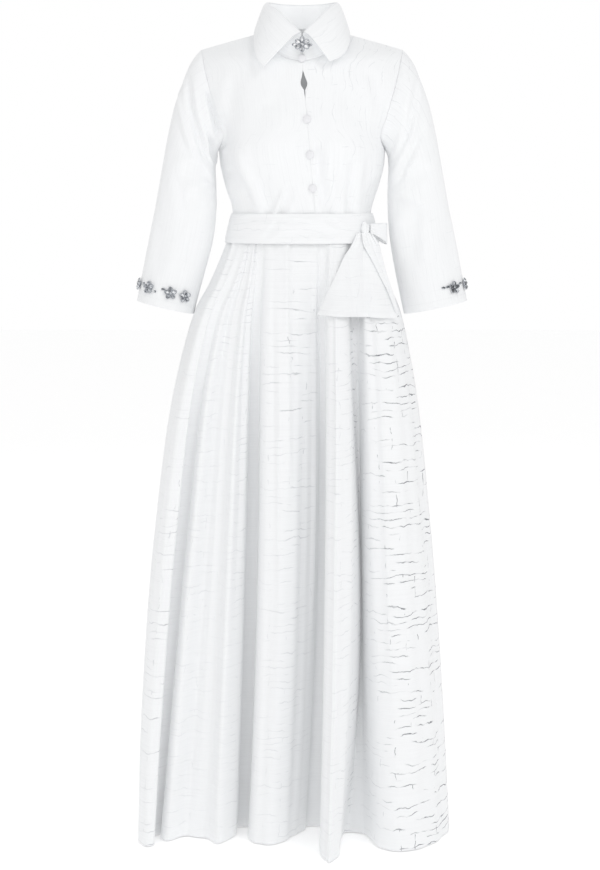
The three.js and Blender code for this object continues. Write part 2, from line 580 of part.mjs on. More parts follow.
// Rows of points from hem to waist on a smooth curve through the fold lines.
function skirtGrid(foldPoints) {
  const grid = SKIRT_STEPS.toReversed().map((t) => {
    const folds = foldPoints(t);
    const curve = new THREE.CatmullRomCurve3(folds, false, "centripetal");
    const spans = (folds.length - 1) * SAMPLES_PER_SPAN;
    return Array.from({ length: spans + 1 }, (_, i) => curve.getPoint(i / spans));
  });
  drawBack(columnOf(grid, 0), columnOf(grid, 1));
  drawBack(columnOf(grid, -1), columnOf(grid, -2));
  for (const p of grid.at(-1)) p.z -= SEAM_GAP / 2;
  return grid;
}

const skirtFront = () => wall(skirtGrid(frontFoldPoints), SKIRT_CLOTH, false, { start: "y", end: "y" });

// One half of the back, up to the centre back seam.
function skirtBack(side) {
  const middle = (BACK_FOLDS.count * BACK_FOLD.length) / 2;
  const half = (points) => (side > 0 ? points.slice(0, middle + 1) : points.slice(middle));
  const seams = side > 0 ? { start: "y", end: "x" } : { start: "x", end: "y" };
  return wall(skirtGrid((t) => half(backFoldPoints(t))), SKIRT_CLOTH, false, seams);
}

// Sash

// A point on the sash's outer face, at an angle anticlockwise from +X.
function sashPoint(angle, z) {
  const share = THREE.MathUtils.clamp((z - SASH.footZ) / (SASH.topZ - SASH.footZ), 0, 1);
  const end = Math.sin(angle) < 0 ? "front" : "back";
  const halfWidth = mix(SASH.foot.halfWidth, SASH.top.halfWidth, share) + CLOTH;
  const depth = mix(SASH.foot[end], SASH.top[end], share) + CLOTH;
  return v3(halfWidth * Math.cos(angle), depth * Math.sin(angle), z);
}

function sashBand() {
  const rows = 2;
  const columns = 48;
  const grid = [];
  for (let r = 0; r <= rows; r++) {
    const z = mix(SASH.footZ, SASH.topZ, r / rows);
    grid.push(Array.from({ length: columns }, (_, c) => sashPoint((2 * Math.PI * c) / columns, z)));
  }
  return wall(grid, CLOTH, true);
}

// How far forward the sash and the skirt's front reach at a place, bridging the folds between.
function frontOutline(x, z) {
  const t = (z - WAIST_Z) / (HEM_Z - WAIST_Z);
  const skirt = Math.min(...frontFoldPoints(t).map((p) => p.y + (x - p.x) ** 2 / (2 * TAIL_ROUNDING)));
  const level = Math.max(z, SASH.footZ);
  const angle = -Math.acos(THREE.MathUtils.clamp(x / sashPoint(0, level).x, -1, 1));
  const sash = sashPoint(angle, level).y + (level - z) * TAIL_SLOPE;
  return Math.min(skirt, sash);
}

// A hanging end of the sash, with soft folds that fan out from the knot.
function sashTail(table, { clearance, folds, foldDepth }) {
  const rows = 7;
  const columns = 8;
  const grid = [];
  for (let r = rows; r >= 0; r--) {
    const at = r / rows;
    const get = (column) => follow(table, at, column);
    const row = [];
    for (let c = 0; c <= columns; c++) {
      const u = c / columns;
      const x = mix(get("leftX"), get("rightX"), u);
      const z = get("z") + get("slant") * u;
      const fold = foldDepth * at * (0.5 - 0.5 * Math.cos(2 * Math.PI * folds * u));
      row.push(v3(x, frontOutline(x, z) - clearance - fold, z));
    }
    grid.push(row);
  }
  return wall(grid, CLOTH);
}

// Where the knot sits on the sash's face, the way out from it there and the way on along the sash.
function knotSeat() {
  const angle = -Math.acos(KNOT.x / sashPoint(0, KNOT.z).x);
  const step = 0.02;
  const along = sashPoint(angle + step, KNOT.z).sub(sashPoint(angle - step, KNOT.z)).normalize();
  return { seat: sashPoint(angle, KNOT.z), out: v3(along.y, -along.x, 0), along };
}

function sashKnot() {
  const { seat, out, along } = knotSeat();
  const geometry = new THREE.SphereGeometry(1, 14, 9);
  geometry.scale(KNOT.halfWidth, KNOT.halfDepth, KNOT.halfHeight);
  geometry.rotateZ(Math.atan2(along.y, along.x));
  const centre = seat.addScaledVector(out, KNOT.halfDepth + 2 * SEAM_GAP);
  return geometry.translate(centre.x, centre.y, centre.z);
}

// A loop of the sash that leaves the knot along the sash, on a long drop-shaped outline.
function sashLoop() {
  const { seat, out, along } = knotSeat();
  const start = seat.addScaledVector(along, KNOT.halfWidth - SEAM_GAP * 3);
  start.addScaledVector(out, LOOP.swell + 2 * CLOTH);
  const rows = 4;
  const grid = [];
  for (let r = 0; r <= rows; r++) {
    const row = [];
    for (let c = 0; c < LOOP.columns; c++) {
      const angle = (2 * Math.PI * c) / LOOP.columns;
      const reach = (1 - Math.cos(angle)) / 2;
      const swell = (LOOP.swell * Math.sqrt(reach) + CLOTH) * Math.sin(angle);
      const height = mix(LOOP.nearHeight, LOOP.farHeight, reach);
      const p = start.clone().addScaledVector(along, reach * LOOP.length).addScaledVector(out, swell);
      p.z += height * (r / rows - 0.5) - LOOP.droop * reach;
      row.push(p);
    }
    grid.push(row);
  }
  return wall(grid, LOOP.cloth, true);
}

// Buttons and jewels

// A domed, cloth-covered button with its back at the origin, facing +Y.
function coveredButton() {
  const { radius, backRadius, height, rim, sides } = BUTTON;
  const steps = 3;
  const profile = [new THREE.Vector2(0, 0), new THREE.Vector2(backRadius, 0)];
  for (let i = 0; i < steps; i++) {
    const angle = (Math.PI / 2) * (i / steps);
    profile.push(new THREE.Vector2(radius * Math.cos(angle), rim + (height - rim) * Math.sin(angle)));
  }
  profile.push(new THREE.Vector2(0, height));
  return new THREE.LatheGeometry(profile, sides);
}

const wasm = await Module();
wasm.setup();

function toSolid(geometry) {
  const bare = geometry.clone();
  bare.deleteAttribute("normal");
  bare.deleteAttribute("uv");
  const merged = mergeVertices(bare);
  const vertProperties = new Float32Array(merged.attributes.position.array);
  const triVerts = new Uint32Array(merged.index.array);
  return new wasm.Manifold(new wasm.Mesh({ numProp: 3, vertProperties, triVerts }));
}

function toGeometry(solid) {
  const { vertProperties, triVerts } = solid.getMesh();
  const geometry = new THREE.BufferGeometry();
  geometry.setAttribute("position", new THREE.Float32BufferAttribute(vertProperties, 3));
  geometry.setIndex(new THREE.BufferAttribute(triVerts, 1));
  return geometry;
}

// A flower of cut stones on a thin plate with its back at the origin, facing +Y. A stem behind the
// plate reaches back to what carries it.
function stoneFlower({ petals, ring, petal, centre }, stem = 0) {
  const plate = new THREE.CylinderGeometry(PLATE.backShare * ring, ring, petal / 2, PLATE.sides);
  let flower = toSolid(plate.translate(0, petal / 4, 0));
  for (let i = 0; i < petals; i++) {
    const angle = (2 * Math.PI * i) / petals + Math.PI / 2;
    const stone = new THREE.SphereGeometry(petal, 6, 3).scale(STONE.long, STONE.high, STONE.wide);
    stone.rotateY(-angle).translate(ring * Math.cos(angle), petal / 2, ring * Math.sin(angle));
    flower = flower.add(toSolid(stone));
  }
  const middle = new THREE.SphereGeometry(centre, 6, 4).scale(1, STONE.high, 1);
  flower = flower.add(toSolid(middle.translate(0, petal / 2 + 0.9, 0)));
  if (stem === 0) return toGeometry(flower);
  const { radius, overlap, sides } = STEM;
  const post = new THREE.CylinderGeometry(radius, radius, stem + overlap, sides);
  return toGeometry(flower.add(toSolid(post.translate(0, (overlap - stem) / 2, 0))));
}

// Turns a piece that was made facing +Y to a direction, just off a point.
function face(mesh, point, direction, standOff = 2 * SEAM_GAP) {
  mesh.quaternion.setFromUnitVectors(v3(0, 1, 0), direction);
  mesh.position.copy(point).addScaledVector(direction, standOff);
}

// Materials

const cloth = new THREE.MeshStandardMaterial({ color: "#f1f2f4", roughness: 0.6, metalness: 0 });
const coveredCloth = new THREE.MeshStandardMaterial({ color: "#f4f4f5", roughness: 0.5, metalness: 0 });
const stones = new THREE.MeshStandardMaterial({ color: "#7d8086", roughness: 0.15, metalness: 0.3 });

const gown = new THREE.Group();

function addPiece(name, geometry, material) {
  const mesh = new THREE.Mesh(geometry, material);
  mesh.name = name;
  gown.add(mesh);
  return mesh;
}

addPiece("bodice_front_right", frontPanel(-1), cloth);
addPiece("bodice_front_left", frontPanel(1), cloth);
addPiece("bodice_back_left", backPanel(1), cloth);
addPiece("bodice_back_right", backPanel(-1), cloth);
addPiece("sleeve_right", sleeve(-1), cloth);
addPiece("sleeve_left", sleeve(1), cloth);
addPiece("collar_stand", collarStand(), cloth);
addPiece("collar_fall", collarFall(), cloth);
addPiece("skirt_front", skirtFront(), cloth);
addPiece("skirt_back_left", skirtBack(1), cloth);
addPiece("skirt_back_right", skirtBack(-1), cloth);
addPiece("sash_band", sashBand(), cloth);
addPiece("sash_knot", sashKnot(), cloth);
addPiece("sash_loop", sashLoop(), cloth);
addPiece("sash_tail_lower", sashTail(LOWER_TAIL, LOWER_TAIL_HANG), cloth);
addPiece("sash_tail_upper", sashTail(UPPER_TAIL, UPPER_TAIL_HANG), cloth);

BUTTON_Z.forEach((z, i) => {
  const x = buttonLineX(z);
  const across = frontSurfaceAt(x + 1, z).sub(frontSurfaceAt(x - 1, z));
  const up = frontSurfaceAt(x, z + 1).sub(frontSurfaceAt(x, z - 1));
  const button = addPiece(`button_${i + 1}`, coveredButton(), coveredCloth);
  face(button, frontSurfaceAt(x, z), across.cross(up).normalize());
});

const forward = v3(0, -1, 0);
face(addPiece("button_neck", coveredButton(), coveredCloth), standFrontAt(NECK_BUTTON_Z), forward);
const brooch = addPiece("brooch", stoneFlower(BROOCH, BROOCH.standOff - 2 * SEAM_GAP), stones);
face(brooch, standFrontAt(BROOCH.z), forward, BROOCH.standOff);

for (const { name, side, row, behind } of CUFF_FLOWERS) {
  const turn = behind ? backTurn(row) : frontTurn(row);
  const step = 0.01;
  const point = (du, dv) => sleevePoint(side, turn + du, CUFF_FLOWER_AT + dv);
  const round = point(side * step, 0).sub(point(-side * step, 0));
  const up = point(0, -step).sub(point(0, step));
  const flower = addPiece(`cuff_flower_${name}`, stoneFlower(CUFF_FLOWER), stones);
  face(flower, point(0, 0), round.cross(up).normalize());
}

export default gown;
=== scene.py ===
"""Looks for an evening gown of white crackle jacquard with cut stones at neck and cuffs.

Each piece of cloth is made again on its solid's form with a finer surface, soft creases, a woven
pattern and stitching. Tables and sizes are in millimetres; what they build is in metres.
"""

import logging
import math
import random
from collections.abc import Callable, Iterable, Sequence
from dataclasses import dataclass, field
from enum import Enum

import bmesh
import bpy
from bpy.types import Material, Node, NodeSocket, NodeTree, Object
from mathutils import Matrix, Vector


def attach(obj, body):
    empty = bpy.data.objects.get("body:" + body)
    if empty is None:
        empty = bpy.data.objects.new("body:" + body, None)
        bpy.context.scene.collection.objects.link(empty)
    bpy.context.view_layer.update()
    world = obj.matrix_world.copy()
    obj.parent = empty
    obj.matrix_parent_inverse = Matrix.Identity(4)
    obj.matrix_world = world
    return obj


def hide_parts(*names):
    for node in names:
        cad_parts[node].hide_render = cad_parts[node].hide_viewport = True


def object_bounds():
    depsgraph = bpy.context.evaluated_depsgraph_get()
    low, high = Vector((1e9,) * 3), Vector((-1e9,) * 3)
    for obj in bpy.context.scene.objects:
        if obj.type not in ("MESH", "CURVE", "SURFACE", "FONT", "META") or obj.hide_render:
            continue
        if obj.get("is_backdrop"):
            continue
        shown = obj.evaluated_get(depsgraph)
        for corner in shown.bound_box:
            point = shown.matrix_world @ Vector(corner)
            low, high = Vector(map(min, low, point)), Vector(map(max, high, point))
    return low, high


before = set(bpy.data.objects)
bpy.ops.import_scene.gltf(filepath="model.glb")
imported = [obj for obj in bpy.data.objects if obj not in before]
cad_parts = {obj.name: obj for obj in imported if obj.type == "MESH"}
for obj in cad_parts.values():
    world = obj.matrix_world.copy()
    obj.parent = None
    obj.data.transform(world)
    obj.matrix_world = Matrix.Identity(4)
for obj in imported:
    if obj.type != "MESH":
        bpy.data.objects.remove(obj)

CAD_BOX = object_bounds()
MM = 0.001
BODY = "root"
CUT_MAP = "cut"
# How strongly and how dark the silver lines are drawn: the print's silver yarn, varied piece by piece as
# painted reflection.
SILVER_AND_REFLECTION = "silver"
# The random grey of each facet of a stone, a painted reflection.
FACET_REFLECTION = "facet"
SEAM_GAP = 0.3
log = logging.getLogger("gown")

Grid = list[list[Vector]]
Relief = Callable[[float, float, Vector], float]


class Side(Enum):
    """The two sides of the gown, by the sign of x. LEFT is the wearer's own left, towards +X."""

    LEFT = 1
    RIGHT = -1

    @property
    def word(self) -> str:
        """The side's name as the nodes spell it."""
        return self.name.lower()


class Slot(Enum):
    """The record's material slots."""

    CLOTH = "gown_cloth"
    BUTTON = "button_cloth"
    STONES = "cut_stones"


def mix(a: float, b: float, share: float) -> float:
    """Blends two numbers."""
    return a + (b - a) * share


def clamp(value: float, low: float = 0.0, high: float = 1.0) -> float:
    """Keeps a number between two others."""
    return max(low, min(high, value))


def smooth(t: float) -> float:
    """Eases from 0 to 1 as t goes from 0 to 1."""
    t = clamp(t)
    return t * t * (3 - 2 * t)


def bump(distance: float, spread: float) -> float:
    """A soft hump, 1 at its middle."""
    return math.exp(-((distance / spread) ** 2))


class Table:
    """A short table whose rows lie on a smooth curve that turns sharply only at its corners."""

    def __init__(
        self, columns: str, rows: Sequence[Sequence[float]], corners: Sequence[float] = ()
    ) -> None:
        """Keeps the rows.

        Args:
            columns: The names of the columns. The first says where along the curve a row lies.
            rows: The rows, from the lowest place to the highest.
            corners: The places at which the curve turns sharply.
        """
        self.columns = columns.split()
        self.rows = [tuple(row) for row in rows]
        self.corners = set(corners)
        self.known: dict[float, dict[str, float]] = {}

    def slope(self, k: int, i: int) -> list[float]:
        """The curve's slopes at row k, seen from the span that starts at row i.

        Args:
            k: The row.
            i: The row that the span starts at.

        Returns:
            Each column's slope.
        """
        corner = self.rows[k][0] in self.corners
        before = self.rows[i if corner else max(k - 1, 0)]
        after = self.rows[i + 1 if corner else min(k + 1, len(self.rows) - 1)]
        return [(b - a) / (after[0] - before[0]) for a, b in zip(before, after)]

    def at(self, place: float) -> dict[str, float]:
        """Reads every column.

        Args:
            place: Where along the curve.

        Returns:
            Each column's value there, by its name.
        """
        if place in self.known:
            return self.known[place]
        i = 0
        while i < len(self.rows) - 2 and place > self.rows[i + 1][0]:
            i += 1
        low, high = self.rows[i], self.rows[i + 1]
        span = high[0] - low[0]
        t = (place - low[0]) / span
        tt, ttt = t * t, t * t * t
        values = [
            (2 * ttt - 3 * tt + 1) * a
            + (ttt - 2 * tt + t) * span * sa
            + (3 * tt - 2 * ttt) * b
            + (ttt - tt) * span * sb
            for a, sa, b, sb in zip(low, self.slope(i, i), high, self.slope(i + 1, i))
        ]
        self.known[place] = dict(zip(self.columns, values))
        return self.known[place]


@dataclass(frozen=True)
class Crease:
    """A soft fold between two places, deepest in its middle and fading at its ends.

    A positive depth is a trough and a negative one a ridge. One flank is gentler than the other,
    as cloth falls, and a bow bends its line aside.
    """

    from_a: float
    from_b: float
    to_a: float
    to_b: float
    depth: float
    width: float
    bow: float = 0.0

    GENTLE = 1.7
    SHOULDER = 0.35

    def height(self, a: float, b: float) -> float:
        """How far the crease raises the cloth at a place, in millimetres.

        Args:
            a: The first coordinate of the place.
            b: The second one.

        Returns:
            The height, which is below zero in a trough.
        """
        run_a, run_b = self.to_a - self.from_a, self.to_b - self.from_b
        length = math.hypot(run_a, run_b)
        off_a, off_b = a - self.from_a, b - self.from_b
        along = (off_a * run_a + off_b * run_b) / length**2
        if not 0 < along < 1:
            return 0.0
        aside = (off_b * run_a - off_a * run_b) / length - self.bow * 4 * along * (1 - along)
        share = aside / (self.width * (self.GENTLE if aside > 0 else 1.0))
        if abs(share) > 3.5:
            return 0.0
        fade = smooth(along / 0.3) * smooth((1 - along) / 0.3)
        shape = bump(share, 1.0) - self.SHOULDER * bump(abs(share) - 1.8, 0.9)
        return -self.depth * fade * shape


class Creases:
    """The creases of one piece."""

    def __init__(self, rows: Iterable[Sequence[float]]) -> None:
        """Keeps them, each from the row of numbers that a Crease takes."""
        self.all = [Crease(*row) for row in rows]

    def height(self, a: float, b: float) -> float:
        """How far all of them raise the cloth at a place."""
        return sum(crease.height(a, b) for crease in self.all)


# Making and finishing meshes


def publish(
    name: str, bm: bmesh.types.BMesh, material: Material, slot: Slot, smoothly: bool = True
) -> Object:
    """Turns a bmesh into a piece of the gown that rides on its body.

    Args:
        name: The piece's name.
        bm: Its mesh, in metres, which is freed.
        material: Its finish.
        slot: The record's slot that the finish belongs to.
        smoothly: Whether its faces are shaded smooth.

    Returns:
        The new object.
    """
    mesh = bpy.data.meshes.new(name)
    for face in bm.faces:
        face.smooth = smoothly
    bm.to_mesh(mesh)
    bm.free()
    mesh.materials.append(material)
    piece = bpy.data.objects.new(name, mesh)
    bpy.context.scene.collection.objects.link(piece)
    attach(piece, BODY)
    log.info("%s: %d faces", name, len(mesh.polygons))
    return piece


def arc_lengths(points: Grid, anchor: float = 0.5) -> list[list[tuple[float, float]]]:
    """Lays a grid of points out flat, by the lengths along its rows and its middle column.

    Args:
        points: The rows of points, from bottom to top.
        anchor: The share of a row that lies at 0.

    Returns:
        For each point its place on the flat cloth, across and up.
    """
    middle = round(anchor * (len(points[0]) - 1))
    flat = []
    up = 0.0
    for j, row in enumerate(points):
        if j:
            up += (row[middle] - points[j - 1][middle]).length
        across = [0.0]
        for before, after in zip(row, row[1:]):
            across.append(across[-1] + (after - before).length)
        flat.append([(a - across[middle], up) for a in across])
    return flat


@dataclass
class Weaver:
    """Turns grids of points into walls of cloth."""

    cloth: Material
    wrong_side: Material
    facing: Material
    edge_round: float = 0.3

    def weave(
        self,
        name: str,
        points: Grid,
        thickness: float,
        replaces: str,
        closed: bool = False,
        flat: list[list[tuple[float, float]]] | None = None,
        relief: Relief | None = None,
        silver: Callable[[float, float], float] | None = None,
        turned: bool = False,
        faced: bool = False,
        soften: int = 0,
    ) -> Object:
        """Makes a piece of cloth from points on its outer face.

        Args:
            name: The piece's name.
            points: Rows of points from bottom to top, each anticlockwise seen from above.
            thickness: The wall's thickness.
            replaces: The node that the piece stands for.
            closed: Whether each row ends where it starts.
            flat: Each point's place on the flat cloth, or None to measure it.
            relief: How far the cloth stands out at a share across, a share up and a point.
            silver: How strongly and how dark the silver lines are drawn at a share across and a share up, a
                painted reflection that varies over the gown.
            turned: Whether the piece was cut a quarter turn round on the cloth.
            faced: Whether a facing backs it, as in the collar, whose inner face then takes the facing's
                stronger painted glow.
            soften: How often its inner points are drawn to the middle of their neighbours.

        Returns:
            The new piece.
        """
        rows, columns = len(points) - 1, len(points[0]) - 1
        flat = flat or arc_lengths(points)
        if turned:
            flat = [[(up, across) for across, up in row] for row in flat]
        bm = bmesh.new()
        cut = bm.loops.layers.uv.new(CUT_MAP)
        yarn = bm.verts.layers.float.new(SILVER_AND_REFLECTION)
        bmesh.ops.create_grid(bm, x_segments=columns, y_segments=rows, size=0.5)
        places = {}
        for vert in bm.verts:
            i = round((vert.co.x + 0.5) * columns)
            j = round((vert.co.y + 0.5) * rows)
            places[vert] = (i, j)
            # The silver lines' strength and darkness, a painted reflection, stored on each point.
            vert[yarn] = silver(i / columns, j / rows) if silver else 0.3
            vert.co = points[j][i] * MM
        for face in bm.faces:
            for loop in face.loops:
                i, j = places[loop.vert]
                loop[cut].uv = (flat[j][i][0] * MM, flat[j][i][1] * MM)
        if closed:
            bmesh.ops.remove_doubles(bm, verts=bm.verts, dist=1e-6)
        inner = [vert for vert in bm.verts if not vert.is_boundary]
        for _ in range(soften):
            bmesh.ops.smooth_vert(
                bm, verts=inner, factor=0.5, use_axis_x=True, use_axis_y=True, use_axis_z=True
            )
        if relief:
            bm.normal_update()
            for vert in bm.verts:
                i, j = places[vert]
                vert.co += vert.normal * relief(i / columns, j / rows, points[j][i]) * MM
        piece = publish(name, bm, self.cloth, Slot.CLOTH)
        piece.data.materials.append(self.facing if faced else self.wrong_side)
        self.thicken(piece, thickness)
        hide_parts(replaces)
        return piece

    def thicken(self, piece: Object, thickness: float) -> None:
        """Gives a piece its wall, inwards from its outer face, and rounds its edges.

        Args:
            piece: The piece.
            thickness: The wall's, in millimetres.
        """
        wall = piece.modifiers.new("wall", "SOLIDIFY")
        wall.thickness = thickness * MM
        wall.offset = -1.0
        wall.material_offset = 1
        edge = piece.modifiers.new("edge", "BEVEL")
        edge.width = self.edge_round * MM
        edge.segments = 2
        edge.limit_method = "ANGLE"
        edge.angle_limit = math.radians(60)


def outward_frame(place: Vector, out: Vector, spin: float = 0.0) -> Matrix:
    """The matrix that sets a thing made facing +Z at a place, facing out, turned by spin."""
    turn = out.to_track_quat("Z", "Y").to_matrix().to_4x4()
    return Matrix.Translation(place) @ turn @ Matrix.Rotation(spin, 4, "Z")


# Finishes


def to_linear(code: str) -> tuple[float, float, float, float]:
    """Turns an sRGB hex value into a linear colour with full alpha."""
    parts = [int(code[i : i + 2], 16) / 255 for i in (1, 3, 5)]
    return (*(c / 12.92 if c <= 0.04045 else ((c + 0.055) / 1.055) ** 2.4 for c in parts), 1.0)


def add_node(
    tree: NodeTree,
    kind: str,
    settings: dict[str, object] | None = None,
    inputs: dict[str | int, object] | None = None,
) -> Node:
    """Adds a shader node.

    Args:
        tree: The material's node tree.
        kind: The node's type.
        settings: Values for its own properties.
        inputs: For each socket, by name or number, the socket that feeds it or its value.

    Returns:
        The node.
    """
    node = tree.nodes.new(kind)
    for key, value in (settings or {}).items():
        setattr(node, key, value)
    for key, value in (inputs or {}).items():
        if isinstance(value, NodeSocket):
            tree.links.new(value, node.inputs[key])
        else:
            node.inputs[key].default_value = value
    return node


def new_material(name: str) -> tuple[Material, Node]:
    """Makes an empty node material.

    Args:
        name: The material's name.

    Returns:
        The material and its surface shader.
    """
    material = bpy.data.materials.new(name)
    material.use_nodes = True
    tree = material.node_tree
    tree.nodes.clear()
    shader = add_node(tree, "ShaderNodeBsdfPrincipled")
    add_node(tree, "ShaderNodeOutputMaterial", inputs={"Surface": shader.outputs["BSDF"]})
    return material, shader


@dataclass(frozen=True)
class CrackleJacquard:
    """White jacquard, woven with a fine silver yarn that floats up in a crackle of short lines.

    The ground is a matt, slightly ribbed white. The silver lines run mostly across the cloth as
    short wavy strokes in ladders, and some join up along it, as dried paint cracks.
    """

    ground: str = "#f3f4f5"
    shade: str = "#f0f1f2"
    # The silver lines' colour, from light to dark as the silver attribute rises; the dark end is painted
    # reflection.
    silver_light: str = "#bfc2c8"
    silver_dark: str = "#50545c"
    roughness: float = 0.62
    line_gap: float = 13.0  # between one crack across the cloth and the next
    line_width: float = 1.15
    stroke: float = 92.0  # twice the usual length of a crack across the cloth
    link_gap: float = 30.0  # between the cracks that run along the cloth
    through: float = 0.04  # painted glow that lightens the whole cloth, its shaded recesses most, for the light that comes through the thin cloth from within
    seep: float = 0.035  # painted glow on the wrong side, for the light that comes through to it
    collar_seep: float = 0.24  # the same painted glow on the collar's facing, stronger so that its shaded inside shows bright
    rib: float = 1.1  # a rib of the weave, drawn twice as coarse as the real one so that it shows

    def wrong_side(self, name: str, seep: float) -> Material:
        """Builds the finish of the cloth's inner face: plain, with a painted glow for the light that comes
        through from outside.

        Args:
            name: The finish's name.
            seep: How strong the painted glow is, as a share of full white.

        Returns:
            The material.
        """
        material, shader = new_material(name)
        tree = material.node_tree
        flat = add_node(tree, "ShaderNodeUVMap", {"uv_map": CUT_MAP}).outputs["UV"]
        ribs = self.ribs(tree, self.scaled(tree, flat, 1 / MM, 1 / MM))
        tone = add_node(
            tree,
            "ShaderNodeMix",
            {"data_type": "RGBA"},
            {0: ribs, 6: to_linear(self.ground), 7: to_linear(self.shade)},
        )
        tree.links.new(tone.outputs[2], shader.inputs["Base Color"])
        shader.inputs["Roughness"].default_value = self.roughness
        # The wrong side glows: painted light that lightens the gown's shaded insides.
        shader.inputs["Emission Color"].default_value = to_linear(self.ground)
        shader.inputs["Emission Strength"].default_value = seep
        return material

    def material(self) -> Material:
        """Builds the finish on the cloth's own flat cut.

        Returns:
            The material.
        """
        material, shader = new_material("white_crackle_jacquard")
        tree = material.node_tree
        flat = add_node(tree, "ShaderNodeUVMap", {"uv_map": CUT_MAP}).outputs["UV"]
        mm = self.scaled(tree, flat, 1 / MM, 1 / MM)
        bent = self.bent(tree, mm)
        across = self.lines(tree, bent, 4000.0, self.line_gap, self.line_width)
        along = self.lines(tree, bent, self.link_gap, 4000.0, self.line_width * 0.8)
        ladder = self.product(tree, across, self.strokes(tree, bent, self.stroke, self.line_gap))
        links = self.patches(tree, mm, 14.0, 24.0, 0.57, 0.62)
        rungs = self.product(tree, along, links)
        lines = add_node(
            tree, "ShaderNodeMath", {"operation": "MAXIMUM"}, {0: ladder, 1: rungs}
        ).outputs[0]
        # The silver attribute: the lines' strength and darkness, varied over the gown as painted reflection.
        strength = add_node(tree, "ShaderNodeAttribute", {"attribute_name": SILVER_AND_REFLECTION})
        fading = self.patches(tree, mm, 26.0, 20.0, 0.3, 0.66)
        shown = self.product(tree, self.product(tree, lines, fading), strength.outputs["Fac"])
        streaks = self.patches(tree, mm, 90.0, 1.6, 0.3, 0.8)
        ground = add_node(
            tree,
            "ShaderNodeMix",
            {"data_type": "RGBA"},
            {0: streaks, 6: to_linear(self.ground), 7: to_linear(self.shade)},
        ).outputs[2]
        # The lines darken with the silver attribute, a painted reflection.
        silver = add_node(
            tree,
            "ShaderNodeMix",
            {"data_type": "RGBA"},
            {0: strength.outputs["Fac"], 6: to_linear(self.silver_light), 7: to_linear(self.silver_dark)},
        ).outputs[2]
        colour = add_node(tree, "ShaderNodeMix", {"data_type": "RGBA"}, {0: shown, 6: ground, 7: silver})
        ribs = self.ribs(tree, mm)
        sunk = add_node(
            tree, "ShaderNodeMath", {"operation": "MULTIPLY_ADD"}, {0: lines, 1: -0.6, 2: ribs}
        )
        relief = add_node(
            tree, "ShaderNodeBump", inputs={"Strength": 0.25, "Distance": 0.0004, "Height": sunk.outputs[0]}
        )
        tree.links.new(colour.outputs[2], shader.inputs["Base Color"])
        tree.links.new(relief.outputs["Normal"], shader.inputs["Normal"])
        shader.inputs["Roughness"].default_value = self.roughness
        shader.inputs["Sheen Weight"].default_value = 0.12
        shader.inputs["Sheen Roughness"].default_value = 0.4
        shader.inputs["Specular IOR Level"].default_value = 0.35
        # The cloth glows faintly: painted light that lightens its shaded recesses.
        shader.inputs["Emission Color"].default_value = to_linear(self.ground)
        shader.inputs["Emission Strength"].default_value = self.through
        return material

    def scaled(self, tree: NodeTree, place: NodeSocket, x: float, y: float) -> NodeSocket:
        """Multiplies a place on the cloth by x and y."""
        node = add_node(tree, "ShaderNodeVectorMath", {"operation": "MULTIPLY"}, {0: place, 1: (x, y, 1.0)})
        return node.outputs[0]

    def bent(self, tree: NodeTree, mm: NodeSocket) -> NodeSocket:
        """Moves the places on the cloth about, broadly and finely, so that straight lines wander.

        Args:
            tree: The material's nodes.
            mm: Where on the cut, in millimetres.

        Returns:
            The moved place.
        """
        place = mm
        for size, reach_x, reach_y in ((58.0, 6.0, 9.0), (17.0, 2.6, 3.2), (5.0, 0.9, 0.9)):
            noise = add_node(
                tree,
                "ShaderNodeTexNoise",
                {"noise_dimensions": "2D"},
                {"Vector": mm, "Scale": 1 / size, "Detail": 1.0},
            )
            centred = add_node(
                tree,
                "ShaderNodeVectorMath",
                {"operation": "SUBTRACT"},
                {0: noise.outputs["Color"], 1: (0.5,) * 3},
            )
            place = add_node(
                tree,
                "ShaderNodeVectorMath",
                {"operation": "MULTIPLY_ADD"},
                {0: centred.outputs[0], 1: (reach_x * 2, reach_y * 2, 0.0), 2: place},
            ).outputs[0]
        return place

    def lines(
        self, tree: NodeTree, place: NodeSocket, gap_x: float, gap_y: float, width: float
    ) -> NodeSocket:
        """Draws lines at those gaps, 1 on a line and 0 beside it.

        Args:
            tree: The material's nodes.
            place: Where on the cut, in millimetres.
            gap_x: The spacing of the lines that run along the cloth.
            gap_y: The spacing of those that run across it.
            width: A line's width.

        Returns:
            The lines' strength.
        """
        node = add_node(
            tree,
            "ShaderNodeTexBrick",
            {"offset": 0.0},
            {
                "Vector": place,
                "Scale": 1.0,
                "Mortar Size": width,
                "Mortar Smooth": 0.75,
                "Brick Width": gap_x,
                "Row Height": gap_y,
            },
        )
        return node.outputs["Fac"]

    def strokes(self, tree: NodeTree, place: NodeSocket, length: float, gap: float) -> NodeSocket:
        """Breaks the lines at that gap into strokes, each line in its own places.

        Args:
            tree: The material's nodes.
            place: Where on the cut, in millimetres.
            length: The size of the noise along a line.
            gap: The spacing of the lines.

        Returns:
            1 on a stroke and 0 between strokes.
        """
        scaled = self.scaled(tree, place, 1 / length, 1 / gap)
        centred = add_node(tree, "ShaderNodeVectorMath", inputs={0: scaled, 1: (0.0, 0.5, 0.0)}).outputs[0]
        line = add_node(
            tree, "ShaderNodeVectorMath", {"operation": "SNAP"}, {0: centred, 1: (0.001, 1.0, 1.0)}
        ).outputs[0]
        return self.patches(tree, line, 1.0, 0.27, 0.47, 0.54)

    def patches(
        self, tree: NodeTree, place: NodeSocket, wide: float, tall: float, low: float, high: float
    ) -> NodeSocket:
